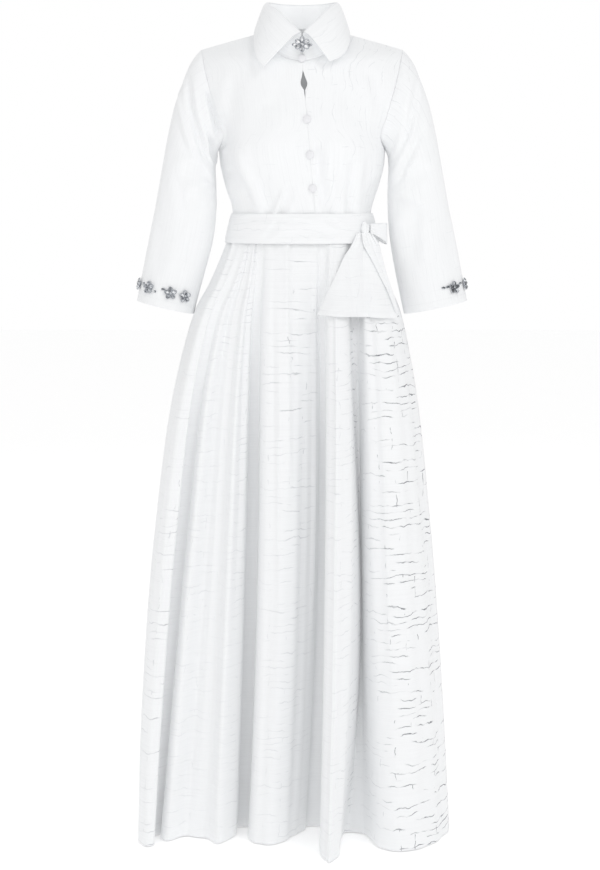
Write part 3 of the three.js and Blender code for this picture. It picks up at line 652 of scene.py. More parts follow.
        # Both inner finishes glow, the collar's facing more: painted light in the gown's shaded insides.
        """Makes soft patches of about that size, 0 under the low threshold and 1 over the high one.

        Args:
            tree: The material's nodes.
            place: Where the noise is read.
            wide: The width of a patch.
            tall: The height of a patch.
            low: The low threshold.
            high: The high threshold.

        Returns:
            A value from 0 to 1.
        """
        noise = add_node(
            tree,
            "ShaderNodeTexNoise",
            {"noise_dimensions": "2D"},
            {"Vector": self.scaled(tree, place, 1 / wide, 1 / tall), "Scale": 1.0, "Detail": 1.5},
        )
        share = add_node(
            tree,
            "ShaderNodeMapRange",
            {"interpolation_type": "SMOOTHSTEP"},
            {0: noise.outputs["Fac"], 1: low, 2: high, 3: 0.0, 4: 1.0},
        )
        return share.outputs[0]

    def product(self, tree: NodeTree, a: NodeSocket, b: NodeSocket) -> NodeSocket:
        """Multiplies two values."""
        return add_node(tree, "ShaderNodeMath", {"operation": "MULTIPLY"}, {0: a, 1: b}).outputs[0]

    def ribs(self, tree: NodeTree, mm: NodeSocket) -> NodeSocket:
        """Draws the weave's fine ribs across the cloth.

        Args:
            tree: The material's nodes.
            mm: Where on the cut, in millimetres.

        Returns:
            A value from 0 to 1.
        """
        node = add_node(
            tree,
            "ShaderNodeTexWave",
            {"wave_type": "BANDS", "bands_direction": "Y"},
            {"Vector": mm, "Scale": 0.3 / self.rib, "Distortion": 0.8, "Detail": 1.0},
        )
        return node.outputs["Fac"]


@dataclass(frozen=True)
class CoveringSatin:
    """White satin, woven plain, drawn tight over the buttons: smoother and glossier than the gown."""

    colour: str = "#ececee"
    roughness: float = 0.42
    thread: float = 0.5

    def material(self) -> Material:
        """Builds the finish on object coordinates.

        Returns:
            The material.
        """
        material, shader = new_material("white_covering_satin")
        tree = material.node_tree
        place = add_node(tree, "ShaderNodeTexCoord").outputs["Object"]
        grain = add_node(
            tree,
            "ShaderNodeTexNoise",
            inputs={"Vector": place, "Scale": 1 / (self.thread * MM), "Detail": 1.0},
        )
        relief = add_node(
            tree,
            "ShaderNodeBump",
            inputs={"Strength": 0.2, "Distance": 0.0002, "Height": grain.outputs["Fac"]},
        )
        tone = add_node(
            tree,
            "ShaderNodeMix",
            {"data_type": "RGBA"},
            {0: grain.outputs["Fac"], 6: to_linear(self.colour), 7: to_linear("#e9e9ec")},
        )
        tree.links.new(tone.outputs[2], shader.inputs["Base Color"])
        tree.links.new(relief.outputs["Normal"], shader.inputs["Normal"])
        shader.inputs["Roughness"].default_value = self.roughness
        shader.inputs["Sheen Weight"].default_value = 0.1
        return material


@dataclass(frozen=True)
class SewingThread:
    """White polyester thread, spun and twisted: a soft gloss on each raised stitch."""

    colour: str = "#eeeef0"

    def material(self) -> Material:
        """Builds the finish, with the twist as fine bands.

        Returns:
            The material.
        """
        material, shader = new_material("white_sewing_thread")
        tree = material.node_tree
        place = add_node(tree, "ShaderNodeTexCoord").outputs["Object"]
        twist = add_node(
            tree,
            "ShaderNodeTexWave",
            {"bands_direction": "DIAGONAL"},
            {"Vector": place, "Scale": 900.0, "Distortion": 1.0},
        )
        tone = add_node(
            tree,
            "ShaderNodeMix",
            {"data_type": "RGBA"},
            {0: twist.outputs["Fac"], 6: to_linear(self.colour), 7: to_linear("#dcdde0")},
        )
        tree.links.new(tone.outputs[2], shader.inputs["Base Color"])
        shader.inputs["Roughness"].default_value = 0.5
        return material


@dataclass(frozen=True)
class CutGlass:
    """Lead-glass stones, pressed, cut and foil-backed: each facet carries its own grey, a painted reflection
    picked at random.
    """

    name: str
    dark: str
    middle: str
    bright: str

    def material(self) -> Material:
        """Builds the finish from the painted reflection, one grey, that each facet carries.

        Returns:
            The material.
        """
        material, shader = new_material(self.name)
        tree = material.node_tree
        facet = add_node(tree, "ShaderNodeAttribute", {"attribute_name": FACET_REFLECTION})
        ramp = add_node(tree, "ShaderNodeValToRGB", inputs={"Fac": facet.outputs["Fac"]})
        ramp.color_ramp.elements[0].color = to_linear(self.dark)
        ramp.color_ramp.elements[1].color = to_linear(self.bright)
        ramp.color_ramp.elements.new(0.55).color = to_linear(self.middle)
        tree.links.new(ramp.outputs["Color"], shader.inputs["Base Color"])
        shader.inputs["Roughness"].default_value = 0.06
        shader.inputs["IOR"].default_value = 1.6
        shader.inputs["Coat Weight"].default_value = 0.6
        shader.inputs["Coat Roughness"].default_value = 0.03
        return material


@dataclass(frozen=True)
class SettingSilver:
    """Rhodium-plated brass, cast and polished: bright claws and plates with worn, softer flats."""

    colour: str = "#c3c6cb"

    def material(self) -> Material:
        """Builds the finish, with small differences in its polish.

        Returns:
            The material.
        """
        material, shader = new_material("polished_setting_metal")
        tree = material.node_tree
        place = add_node(tree, "ShaderNodeTexCoord").outputs["Object"]
        wear = add_node(tree, "ShaderNodeTexNoise", inputs={"Vector": place, "Scale": 700.0, "Detail": 2.0})
        rough = add_node(
            tree, "ShaderNodeMapRange", inputs={0: wear.outputs["Fac"], 1: 0.3, 2: 0.7, 3: 0.14, 4: 0.34}
        )
        tree.links.new(rough.outputs[0], shader.inputs["Roughness"])
        shader.inputs["Base Color"].default_value = to_linear(self.colour)
        shader.inputs["Metallic"].default_value = 1.0
        return material


@dataclass(frozen=True)
class StudioFloor:
    """White matt board, rolled and painted, for the floor."""

    colour: str = "#fafafa"
    glow: float = 0.3  # light thrown up by the lamps under its edge

    def material(self) -> Material:
        """Builds the finish with a faint roller grain.

        Returns:
            The material.
        """
        material, shader = new_material("white_floor_board")
        tree = material.node_tree
        place = add_node(tree, "ShaderNodeTexCoord").outputs["Object"]
        grain = add_node(tree, "ShaderNodeTexNoise", inputs={"Vector": place, "Scale": 40.0, "Detail": 2.0})
        tone = add_node(
            tree,
            "ShaderNodeMix",
            {"data_type": "RGBA"},
            {0: grain.outputs["Fac"], 6: to_linear(self.colour), 7: to_linear("#f6f6f6")},
        )
        tree.links.new(tone.outputs[2], shader.inputs["Base Color"])
        shader.inputs["Roughness"].default_value = 0.8
        shader.inputs["Emission Color"].default_value = to_linear(self.colour)
        shader.inputs["Emission Strength"].default_value = self.glow
        return material


# Bodice

# Half a front from the waist seam up to the shoulder seam. The in point is on the button line and
# then the neckline, the out point on the side seam and then the armhole, and arc is how far round
# the body the row bends between them, in degrees.
FRONT_ROWS = Table(
    "at in_x in_y in_z out_x out_y out_z arc",
    (
        (0.0, 0, -96, -362, 134, 0, -362, 90),
        (0.1, 0, -97, -330, 130, 0, -330, 90),
        (0.22, 0, -104, -290, 144, 0, -284, 90),
        (0.34, 0, -112, -244, 153, 0, -246, 90),
        (0.44, 0, -116, -205, 156, 0, -218, 90),
        (0.54, 0, -114, -168, 146, -37, -192, 78),
        (0.64, 0, -107, -132, 158, -48, -152, 66),
        (0.74, 0, -98, -95, 170, -45, -110, 58),
        (0.84, 0, -88, -58, 180, -32, -70, 50),
        (0.9, 36, -74, -47, 184.5, -18, -48, 42),
        (0.95, 58, -44, -23, 187, -6, -37, 34),
        (1.0, 68, 6, 4, 188, 3, -30, 20),
    ),
    corners=(0.44, 0.84),
)
# Half the back, in the same columns.
BACK_ROWS = Table(
    "at in_x in_y in_z out_x out_y out_z arc",
    (
        (0.0, 0, 90, -362, 134, 0, -362, 90),
        (0.1, 0, 88, -330, 130, 0, -330, 90),
        (0.22, 0, 93, -286, 144, 0, -284, 90),
        (0.34, 0, 101, -240, 153, 0, -246, 90),
        (0.44, 0, 106, -200, 156, 0, -218, 90),
        (0.56, 0, 108, -150, 163, 46, -185, 76),
        (0.68, 0, 106, -98, 172, 62, -135, 62),
        (0.79, 0, 95, -42, 178, 58, -95, 52),
        (0.88, 0, 68, 14, 183, 42, -64, 44),
        (0.94, 36, 58, 13, 186, 24, -45, 34),
        (0.97, 55, 39, 10, 187.5, 12, -36, 28),
        (1.0, 68, 6.6, 4, 188, 3.6, -30, 20),
    ),
    corners=(0.44, 0.88),
)
# Half the keyhole's width on its way down. Under the drop-shaped gap the edges lie almost together.
KEYHOLE_GAP = Table(
    "at half",
    ((0.0, 0), (0.25, 3.2), (0.45, 6.2), (0.6, 4.2), (0.68, 1.4), (0.82, 0.9), (1.0, 0)),
)
# The creases of each panel, as it hangs: from x and z, to x and z, depth, width and bow.
RIGHT_FRONT_CREASES = (
    (-132, -196, -64, -345, -6.0, 11, 3),
    (-108, -222, -52, -352, 4.6, 8, 2),
    (-17, -276, -44, -352, 3.6, 5, -2),
    (-27, -286, -58, -354, -2.8, 5, -2),
    (-70, -120, -84, -196, 2.0, 13, 4),
    (-120, -70, -134, -180, 3.4, 10, -5),
    (-150, -150, -138, -300, 6.5, 11, -4),
    (-148, -250, -118, -300, 2.4, 7, 2),
    (-40, -92, -60, -150, 1.4, 13, 3),
)
LEFT_FRONT_CREASES = (
    (24, -178, 52, -354, 5.6, 8, -5),
    (36, -196, 70, -354, -3.4, 9, -4),
    (92, -226, 84, -352, 4.4, 8, 2),
    (102, -232, 96, -352, -3.0, 7, 2),
    (130, -210, 112, -340, 3.0, 8, -3),
    (66, -96, 104, -186, 2.2, 13, 4),
    (118, -66, 140, -156, 2.8, 9, 5),
    (150, -262, 122, -318, 2.4, 7, -2),
)
BACK_CREASES = (
    (-66, -150, -58, -350, 2.2, 9, 2),
    (66, -156, 60, -350, 2.2, 9, -2),
    (-120, -190, -92, -320, -1.6, 10, 3),
    (118, -196, 96, -322, -1.6, 10, -3),
    (-128, -60, -96, -130, 1.4, 12, -4),
    (124, -64, 98, -126, 1.4, 12, 4),
    (-60, -300, -10, -330, 1.2, 7, 3),
    (14, -302, 66, -334, 1.2, 7, -3),
)


@dataclass
class Bodice:
    """The bodice: two fronts that meet on a leaning button line, with a keyhole, and two backs."""

    weaver: Weaver
    cloth: float = 1.8
    columns: int = 64
    rows: int = 120
    underarm_at: float = 0.44
    front_neck_at: float = 0.84
    back_neck_at: float = 0.88
    line_top: float = -58
    line_lean: float = 0.085
    keyhole_top: float = -74
    keyhole_length: float = 52
    bust: dict[str, float] = field(
        default_factory=lambda: {"x": 78, "z": -205, "rise": 13, "across": 48, "up": 62}
    )
    dart: dict[str, float] = field(
        default_factory=lambda: {"x": 66, "depth": 3.2, "width": 9, "foot": -345, "length": 110}
    )
    seam_roll: float = 0.12  # how far a sewn edge rolls in
    front_size: tuple[float, float] = (0.225, 0.435)
    front_area: float = 0.073
    back_size: tuple[float, float] = (0.215, 0.43)
    back_area: float = 0.076

    def line_x(self, z: float) -> float:
        """Where the button line is at a height."""
        return max(self.line_top - z, 0.0) * self.line_lean

    def opening(self, z: float) -> float:
        """Half the gap between the fronts at a height, which opens at the keyhole."""
        t = clamp((self.keyhole_top - z) / self.keyhole_length)
        return 0.05 + KEYHOLE_GAP.at(t)["half"]

    def cup(self, x: float, z: float) -> float:
        """How far a bust cup stands out, less the hollow of the waist dart under it.

        Args:
            x: Across from the middle.
            z: The height.

        Returns:
            The distance in millimetres.
        """
        rise = self.bust["rise"] * bump(abs(x) - self.bust["x"], self.bust["across"])
        up = clamp((z - self.dart["foot"]) / self.dart["length"])
        hollow = self.dart["depth"] * math.sin(math.pi * up)
        hollow *= bump(abs(x) - self.dart["x"], self.dart["width"])
        return rise * bump(z - self.bust["z"], self.bust["up"]) - hollow

    def point(self, rows: Table, side: Side, u: float, v: float, shift: float = 0.0) -> Vector:
        """A point on half a panel.

        Args:
            rows: The panel's table.
            side: The half.
            u: From 0 at the inner edge to 1 at the outer one.
            v: From 0 at the waist to 1 at the shoulder.
            shift: How far in x the inner edge is moved off the middle.

        Returns:
            The point.
        """
        row = rows.at(v)
        sign = side.value
        turn = math.radians(row["arc"])
        start = math.asin(sign * shift * math.sin(turn) / (row["out_x"] - row["in_x"]))
        angle = mix(start, turn, u)
        across = math.sin(angle) / math.sin(turn)
        back = (1 - math.cos(angle)) / (1 - math.cos(turn))
        x = mix(row["in_x"], row["out_x"], across)
        z = mix(row["in_z"], row["out_z"], u)
        y = mix(row["in_y"], row["out_y"], back)
        if rows is FRONT_ROWS:
            y -= self.cup(x, z) * (1 - smooth((u - 0.7) / 0.3)) * (1 - smooth((v - 0.6) / 0.3))
        return Vector((sign * x, y, z))

    def front_point(self, side: Side, u: float, v: float) -> Vector:
        """A point on one of the fronts.

        Args:
            side: Which half.
            u: From 0 at the inner edge to 1 at the outer one.
            v: From 0 at the waist to 1 at the shoulder.

        Returns:
            The point.
        """
        z = FRONT_ROWS.at(v)["in_z"]
        shift = 0.0 if v > self.front_neck_at else self.line_x(z) + side.value * self.opening(z)
        return self.point(FRONT_ROWS, side, u, v, shift)

    def back_point(self, side: Side, u: float, v: float) -> Vector:
        """A point on one of the backs."""
        return self.point(BACK_ROWS, side, u, v)

    def surface_at(self, x: float, z: float) -> Vector:
        """The point of the front at an x and a z near the button line.

        Args:
            x: Across from the middle.
            z: The height.

        Returns:
            The point.
        """
        low, high = 0.0, self.front_neck_at
        for _ in range(30):
            middle = (low + high) / 2
            if FRONT_ROWS.at(middle)["in_z"] < z:
                low = middle
            else:
                high = middle
        row = FRONT_ROWS.at(low)
        y = row["in_y"] * math.sqrt(1 - (x / row["out_x"]) ** 2)
        return Vector((x, y - self.cup(x, z), z))

    def heights(self, corner: float) -> list[float]:
        """The places of the rows, with one at each corner of the panel's outline.

        Args:
            corner: Where the panel's neckline begins.

        Returns:
            The places, from 0 at the waist to 1 at the shoulder.
        """
        marks = (0.0, self.underarm_at, corner, 1.0)
        places = [0.0]
        for low, high in zip(marks, marks[1:]):
            steps = max(round((high - low) * self.rows), 6)
            places += [mix(low, high, (i + 1) / steps) for i in range(steps)]
        return places

    def panel(self, side: Side, front: bool) -> Object:
        """Makes one of the four panels.

        Args:
            side: Which half.
            front: Whether it is a front or a back.

        Returns:
            The piece.
        """
        point = self.front_point if front else self.back_point
        rows = self.heights(self.front_neck_at if front else self.back_neck_at)
        inner_first = (side is Side.LEFT) == front
        shares = [i / self.columns for i in range(self.columns + 1)]
        if not inner_first:
            shares.reverse()
        points = [[point(side, u, v) for u in shares] for v in rows]
        if front:
            creases = Creases(LEFT_FRONT_CREASES if side is Side.LEFT else RIGHT_FRONT_CREASES)
        else:
            creases = Creases(BACK_CREASES)

        def relief(across: float, up: float, point: Vector) -> float:
            """Raises the creases, and rolls the sewn edges in.

            Args:
                across: From 0 to 1 across the cloth.
                up: From 0 to 1 up it.
                point: The point there.

            Returns:
                How far out, in millimetres.
            """
            edge = min(across, 1 - across) * self.columns / 2.5
            held = smooth(edge) * smooth((1 - up) * 18) * smooth(up * 30)
            return creases.height(point.x, point.z) * held - self.seam_roll * (1 - smooth(edge))

        half = "front" if front else "back"
        return self.weaver.weave(
            f"cloth_bodice_{half}_{side.word}",
            points,
            self.cloth,
            f"bodice_{half}_{side.word}",
            relief=relief,
            silver=lambda across, up: self.silver(side, front, up),
            turned=True,
            soften=16,
        )

    def silver(self, side: Side, front: bool, up: float) -> float:
        """How strongly the silver shows: most on the left front, which turns from the light.

        Args:
            side: Which half.
            front: Whether it is a front.
            up: From 0 at the waist to 1 at the shoulder.

        Returns:
            A share from 0 to 1.
        """
        if not front:
            return 0.4
        return mix(0.16, 0.26, up) if side is Side.LEFT else mix(0.12, 0.06, up)

    def build(self) -> list[Object]:
        """Makes the four panels.

        Returns:
            The four pieces.
        """
        pieces = []
        for side in Side:
            for front in (True, False):
                piece = self.panel(side, front)
                pieces.append(piece)
        return pieces


# Sleeves

# The sleeve from armhole to cuff: its over-arm line, its underarm line, half its depth and where its
# middle lies from front to back.
SLEEVE_ROWS = Table(
    "at over_x over_z under_x under_z half_depth mid_y",
    (
        (0.0, 188, -30, 156, -218, 60, 2),
        (0.08, 205, -48, 160, -226, 58, 2),
        (0.18, 221, -86, 161.5, -237, 55, 1),
        (0.3, 237, -130, 162, -256, 52, -1),
        (0.42, 250, -186, 160.5, -284, 50, -4),
        (0.56, 264, -264, 160.5, -328, 48, -8),
        (0.7, 278, -342, 164.5, -383, 48, -11),
        (0.84, 293, -416, 175, -446, 50, -14),
        (1.0, 309, -498, 191, -523, 52, -17),
    ),
)
# The creases of each sleeve, laid flat: from round and down, to round and down, depth, width and
# bow. Round goes from the over-arm line at 0 over the back, the underarm at 165 and the front.
RIGHT_SLEEVE_CREASES = (
    (266, 16, 190, 26, 14.0, 12, 0),
    (204, 36, 194, 130, 8.0, 12, 0),
    (316, 60, 210, 176, 8.0, 10, 6),
    (326, 108, 234, 206, -5.0, 10, 4),
    (262, 90, 200, 156, 5.0, 9, 4),
    (196, 190, 266, 268, 5.4, 11, -6),
    (180, 226, 248, 306, 4.2, 10, -5),
    (276, 250, 236, 350, 3.8, 11, 4),
    (300, 330, 268, 452, 3.0, 13, 3),
    (214, 330, 240, 452, 2.6, 12, -3),
    (120, 84, 60, 160, 4.0, 13, 5),
    (140, 210, 84, 270, 4.2, 11, 5),
    (96, 300, 60, 400, 3.0, 13, -4),
)
LEFT_SLEEVE_CREASES = (
    (312, 72, 222, 160, 4.4, 11, 5),
    (296, 166, 202, 228, 5.4, 11, 5),
    (196, 210, 284, 268, 5.0, 10, -5),
    (188, 258, 256, 338, 4.4, 10, -5),
    (250, 296, 222, 424, 4.0, 11, 4),
    (298, 330, 282, 458, 3.0, 13, -3),
    (118, 90, 62, 168, 4.0, 13, 5),
    (136, 216, 78, 276, 4.2, 11, 5),
    (90, 310, 62, 410, 3.0, 13, -4),
)


@dataclass
class Sleeves:
    """Two set-in sleeves of bracelet length, a little flared, open at the cuff."""

    weaver: Weaver
    bodice: Bodice
    cloth: float = 1.8
    columns: int = 128
    rows: int = 150
    cap: float = 0.13  # how far down the armhole's own shape has gone
    push: float = 11.0  # how far the skirt's fuller side holds the right cuff out
    push_from: float = 0.6
    round_mm: float = 330.0
    down_mm: float = 500.0
    size: tuple[float, float] = (0.36, 0.50)
    area: float = 0.14

    def armhole(self, side: Side, turn: float) -> Vector:
        """The armhole at a turn of 0 to 1, from the shoulder tip back, under and forward again.

        Args:
            side: Which sleeve.
            turn: The share of the way round.

        Returns:
            The point.
        """
        turn %= 1.0
        v = mix(self.bodice.underarm_at, 1.0, abs(1 - 2 * turn))
        return self.bodice.point(BACK_ROWS if turn < 0.5 else FRONT_ROWS, side, 1.0, v)

    def point(self, side: Side, turn: float, at: float) -> Vector:
        """A point of a sleeve, at a turn as at the armhole and a share of the way to the cuff.

        Args:
            side: Which sleeve.
            turn: The share of the way round.
            at: The share of the way down.

        Returns:
            The point.
        """
        row = SLEEVE_ROWS.at(at)
        angle = 2 * math.pi * turn
        over = (1 + math.cos(angle)) / 2
        pushed = self.push * smooth((at - self.push_from) / (1 - self.push_from))
        under_x = row["under_x"] + (pushed if side is Side.RIGHT else 0.0)
        x = side.value * mix(under_x, row["over_x"], over)
        y = row["mid_y"] + row["half_depth"] * math.sin(angle)
        ring = Vector((x, y, mix(row["under_z"], row["over_z"], over)))
        return ring.lerp(self.armhole(side, turn), 1 - smooth(at / self.cap))

    def out(self, side: Side, turn: float, at: float) -> Vector:
        """The way out from the cloth at a point of a sleeve.

        Args:
            side: Which sleeve.
            turn: The share of the way round.
            at: The share of the way down.

        Returns:
            A direction of length 1.
        """
        step, sign = 0.01, side.value
        low, high = min(at + step, 1.0), at - step
        round_it = self.point(side, turn + sign * step, at) - self.point(side, turn - sign * step, at)
        return round_it.cross(self.point(side, turn, high) - self.point(side, turn, low)).normalized()

    def build(self) -> list[Object]:
        """Makes both sleeves.

        Returns:
            Both pieces.
        """
        pieces = []
        for side in Side:
            turns = [i / self.columns for i in range(self.columns + 1)]
            if side is Side.RIGHT:
                turns.reverse()
            points = [
                [self.point(side, turn, 1 - j / self.rows) for turn in turns]
                for j in range(self.rows + 1)
            ]
            creases = Creases(LEFT_SLEEVE_CREASES if side is Side.LEFT else RIGHT_SLEEVE_CREASES)

            def relief(across: float, up: float, point: Vector) -> float:
                """Raises the creases, wrapped round the sleeve, and eases them at both ends.

                Args:
                    across: From 0 to 1 across the cloth.
                    up: From 0 to 1 up it.
                    point: The point there.

                Returns:
                    How far out, in millimetres.
                """
                turn = across if side is Side.LEFT else 1 - across
                around = turn * self.round_mm
                down = (1 - up) * self.down_mm
                height = creases.height(around, down) + creases.height(around + self.round_mm, down)
                return height * smooth((1 - up) * 14) * smooth(up * 12)

            piece = self.weaver.weave(
                f"cloth_sleeve_{side.word}",
                points,
                self.cloth,
                f"sleeve_{side.word}",
                closed=True,
                relief=relief,
                # The +X sleeve's silver lines are drawn stronger and darker towards the shoulder, a painted
                # reflection.
                silver=lambda across, up: mix(0.1, 0.26, smooth(up * 2 - 1)) if side is Side.LEFT else 0.06,
                turned=True,
            )
            pieces.append(piece)
        return pieces


# Collar

# Half the collar from the centre back (0) over the shoulder (0.5) to the button line (1): the roll
# line at the top of the neck band, and the free edge of the leaf that falls from it.
COLLAR_ROWS = Table(
    "at roll_x roll_y roll_z edge_x edge_y edge_z",
    (
        (0.0, 0, 60, 56, 0, 88, 13),
        (0.25, 39, 51, 57, 53, 76, 14),
        (0.5, 63, 6, 56, 86, 6, 7),
        (0.68, 57, -29, 47, 89, -38, -10),
        (0.8, 44, -56, 35, 86, -74, -31),
        (0.91, 24, -78, 13.5, 77, -98, -51),
        (1.0, 2.5, -91, -7, 60, -110, -64),
    ),
)
# The leaf's section from its free edge up over the roll line: how far it is from roll line to edge,
# and how far out from that line and up it lies.
LEAF_SECTION = Table(
    "at along out up",
    (
        (0.0, 1, 0, 0),
        (0.25, 0.72, 2.5, 2),
        (0.5, 0.42, 4, 4),
        (0.73, 0.16, 4.6, 4.4),
        (0.87, 0, 3.9, 1.6),
        (0.94, 0, 2.4, 2.6),
        (1.0, 0, -0.4, 2.4),
    ),
)


@dataclass
class Collar:
    """A neck band and the collar that falls from it in two long points."""

    weaver: Weaver
    bodice: Bodice
    cloth: float = 1.8
    columns: int = 128
    band_rows: int = 14
    leaf_rows: int = 36
    swing_x: float = 10.0  # both points are swung towards -X, the one there hanging lower
    swing_z: float = 5.0
    swing_power: int = 8
    band_size: tuple[float, float] = (0.43, 0.058)
    leaf_size: tuple[float, float] = (0.52, 0.075)

    def place(self, share: float) -> tuple[Side, float]:
        """The side and the place in the table at a share of the way round, from the +X front."""
        return (Side.LEFT if share <= 0.5 else Side.RIGHT, abs(1 - 2 * share))

    def seam(self, side: Side, at: float) -> Vector:
        """The neckline seam, from the centre back (0) over the shoulder (0.5) to the front (1).

        Args:
            side: Which half.
            at: The place round it.

        Returns:
            The point.
        """
        if at < 0.5:
            return self.bodice.point(BACK_ROWS, side, 0.0, mix(self.bodice.back_neck_at, 1.0, at / 0.5))
        v = mix(1.0, self.bodice.front_neck_at, (at - 0.5) / 0.5)
        return self.bodice.point(FRONT_ROWS, side, 0.0, v)

    def roll(self, side: Side, at: float) -> Vector:
        """The roll line at the top of the neck band."""
        row = COLLAR_ROWS.at(at)
        return Vector((side.value * row["roll_x"], row["roll_y"], row["roll_z"]))

    def edge(self, side: Side, at: float) -> Vector:
        """The free edge of the leaf.

        Args:
            side: Which half.
            at: The place round it.

        Returns:
            The point.
        """
        row = COLLAR_ROWS.at(at)
        swing = at**self.swing_power
        x = side.value * row["edge_x"] - self.swing_x * swing
        return Vector((x, row["edge_y"], row["edge_z"] + side.value * self.swing_z * swing))

    def out(self, side: Side, at: float) -> Vector:
        """The level direction out from the neck, square to the roll line.

        Args:
            side: Which half.
            at: The place round it.

        Returns:
            A direction of length 1.
        """
        if at == 0:
            return Vector((0.0, 1.0, 0.0))
        run = self.roll(side, min(at + 0.04, 1.0)) - self.roll(side, max(at - 0.04, 0.0))
        run.z = 0.0
        run.normalize()
        return Vector((side.value * -run.y, side.value * run.x, 0.0))

    def band_point(self, share: float, up: float) -> Vector:
        """A point on the neck band's outer face.

        Args:
            share: The share of the way round, from the +X front.
            up: From 0 at the seam to 1 at the roll line.

        Returns:
            The point.
        """
        side, at = self.place(share)
        foot = self.seam(side, at)
        foot.x += side.value * SEAM_GAP / 2 if at == 1 else 0.0
        return foot.lerp(self.roll(side, at), up)

    def band_front(self, z: float) -> Vector:
        """The neck band's front at a height, between its two ends."""
        foot, top = self.seam(Side.LEFT, 1.0), self.roll(Side.LEFT, 1.0)
        return Vector((0.0, mix(foot.y, top.y, (z - foot.z) / (top.z - foot.z)), z))

    def leaf_point(self, share: float, over: float) -> Vector:
        """A point on the leaf, from its free edge (0) over the roll line (1).

        Args:
            share: The share of the way round, from the +X front.
            over: From 0 at the free edge to 1 at the leaf's other end.

        Returns:
            The point.
        """
        side, at = self.place(share)
        row = LEAF_SECTION.at(over)
        point = self.roll(side, at).lerp(self.edge(side, at), row["along"])
        point += self.out(side, at) * row["out"]
        return point + Vector((0.0, 0.0, row["up"]))

    def build(self) -> list[Object]:
        """Makes the neck band and the leaf.

        Returns:
            Both pieces.
        """
        shares = [i / self.columns for i in range(self.columns + 1)]
        band = [[self.band_point(s, j / self.band_rows) for s in shares] for j in range(self.band_rows + 1)]
        leaf = [[self.leaf_point(s, j / self.leaf_rows) for s in shares] for j in range(self.leaf_rows + 1)]
        band_piece = self.weaver.weave(
            "cloth_collar_band",
            band,
            self.cloth,
            "collar_stand",
            silver=lambda across, up: 0.1,
            faced=True,
        )
        leaf_piece = self.weaver.weave(
            "cloth_collar_leaf",
            leaf,
            self.cloth,
            "collar_fall",
            relief=self.leaf_relief,
            silver=lambda across, up: 0.12,
            faced=True,
        )
        return [band_piece, leaf_piece]

    def leaf_relief(self, across: float, up: float, point: Vector) -> float:
        """The ridge of the turned-in edge under the leaf's own cloth, and a slow wave along it."""
        edge = min(up * 66, min(across, 1 - across) * 430)
        return 0.35 * bump(edge - 7, 3.5) + 0.6 * math.sin(across * 23) * smooth(up * 2) * (1 - up)


# Skirt

# How far each fold has swung out on its way from waist to hem, as a share of the drop.
FLARE = Table(
    "at out",
    (
        (0.0, 0),
        (0.026, 0.04),
        (0.09, 0.21),
        (0.137, 0.37),
        (0.203, 0.5),
        (0.286, 0.62),
        (0.37, 0.705),
        (0.45, 0.768),
        (0.55, 0.84),
        (0.65, 0.894),
        (0.75, 0.937),
        (0.85, 0.97),
        (1.0, 1),
    ),
)
# The skirt's front folds from the -X side seam to the +X one: the place in the waist seam, how far
# the fold's line bends aside at mid height and sags lower down, where it meets the hem, how far
# forward it would meet it if it lay level with the folds beside it, as a recess doesn't, and how
# strongly and how dark the silver lines are drawn at the waist and at the hem, a painted
# reflection, strongest on the +X folds.
FRONT_FOLDS = (
    (-134, -2, 0, -302, -10, -10, 0.1, 0.15),
    (-132.5, -2, 0, -306, -80, -80, 0.1, 0.2),
    (-127, 0, 0, -298, -140, -140, 0.15, 0.3),
    (-121, 4, 0, -284, -163, -163, 0.25, 0.4),
    (-114, 10, 0, -271, -157, -157, 0.3, 0.75),
    (-110, 10, 0, -277, -116, -150, 0.1, 0.3),
    (-105, 16, 0, -256, -98, -128, 0, 0),
    (-101, 20, 0, -262, -120, -120, 0.05, 0.1),
    (-98, 20, 0, -250, -134, -134, 0.25, 0.2),
    (-94, 18, 0, -210, -112, -112, 0.3, 0.2),
    (-90, 14, 0, -178, -120, -120, 0.1, 0.05),
    (-87, 10, 0, -156, -150, -150, 0.15, 0.1),
    (-84, 9, 0, -135, -128, -128, 0.35, 0.2),
    (-81, 9, 0, -121, -98, -98, 0.3, 0.25),
    (-79, 9, 0, -125, -66, -98, 0, 0),
    (-74, 12, 0, -97, -66, -98, 0, 0),
    (-71, 14, 0, -101, -98, -98, 0.1, 0.05),
    (-67, 14, 0, -91, -142, -142, 0.2, 0.12),
    (-42, 16, 0, -58, -155, -155, 0.5, 0.25),
    (-10, 16, 0, -31, -134, -134, 0.6, 0.3),
    (18, 17, 0, -9, -98, -98, 0.45, 0.2),
    (32, 17, 0, 6, -76, -76, 0.1, 0.05),
    (36, 16, 0, 9, -60, -84, 0, 0),
    (41, 10, 0, 35, -62, -112, 0, 0),
    (44, 8, 0, 32, -130, -130, 0.05, 0.05),
    (49, 8, 0, 34, -206, -206, 0.15, 0.1),
    (60, 10, 0, 48, -243, -243, 0.3, 0.2),
    (76, 18, 0, 65, -205, -205, 0.35, 0.3),
    (88, 8, 21, 79, -94, -94, 0.7, 0.6),
    (92, 14, 0, 92, -90, -98, 0.3, 0.2),
    (96, 0, 0, 112, -98, -108, 0.1, 0.1),
    (100, -6, 0, 120, -112, -112, 0.15, 0.25),
    (105, -8, 0, 140, -168, -168, 0.5, 0.35),
    (113, -8, 0, 176, -188, -188, 1, 0.8),
    (121, -8, 0, 222, -166, -166, 0.85, 1),
    (128, -8, 0, 260, -118, -118, 1, 1),
    (132.5, -8, 0, 276, -62, -62, 0.9, 0.9),
    (134, -8, 0, 280, -10, -10, 0.6, 0.6),
)
# A back fold runs from the middle of one box to the middle of the next: how far through it, and how
# deep the recess between them is.
BACK_FOLD = ((0.0, 0.0), (0.38, 0.02), (0.45, 1.0), (0.55, 1.0), (0.62, 0.02))
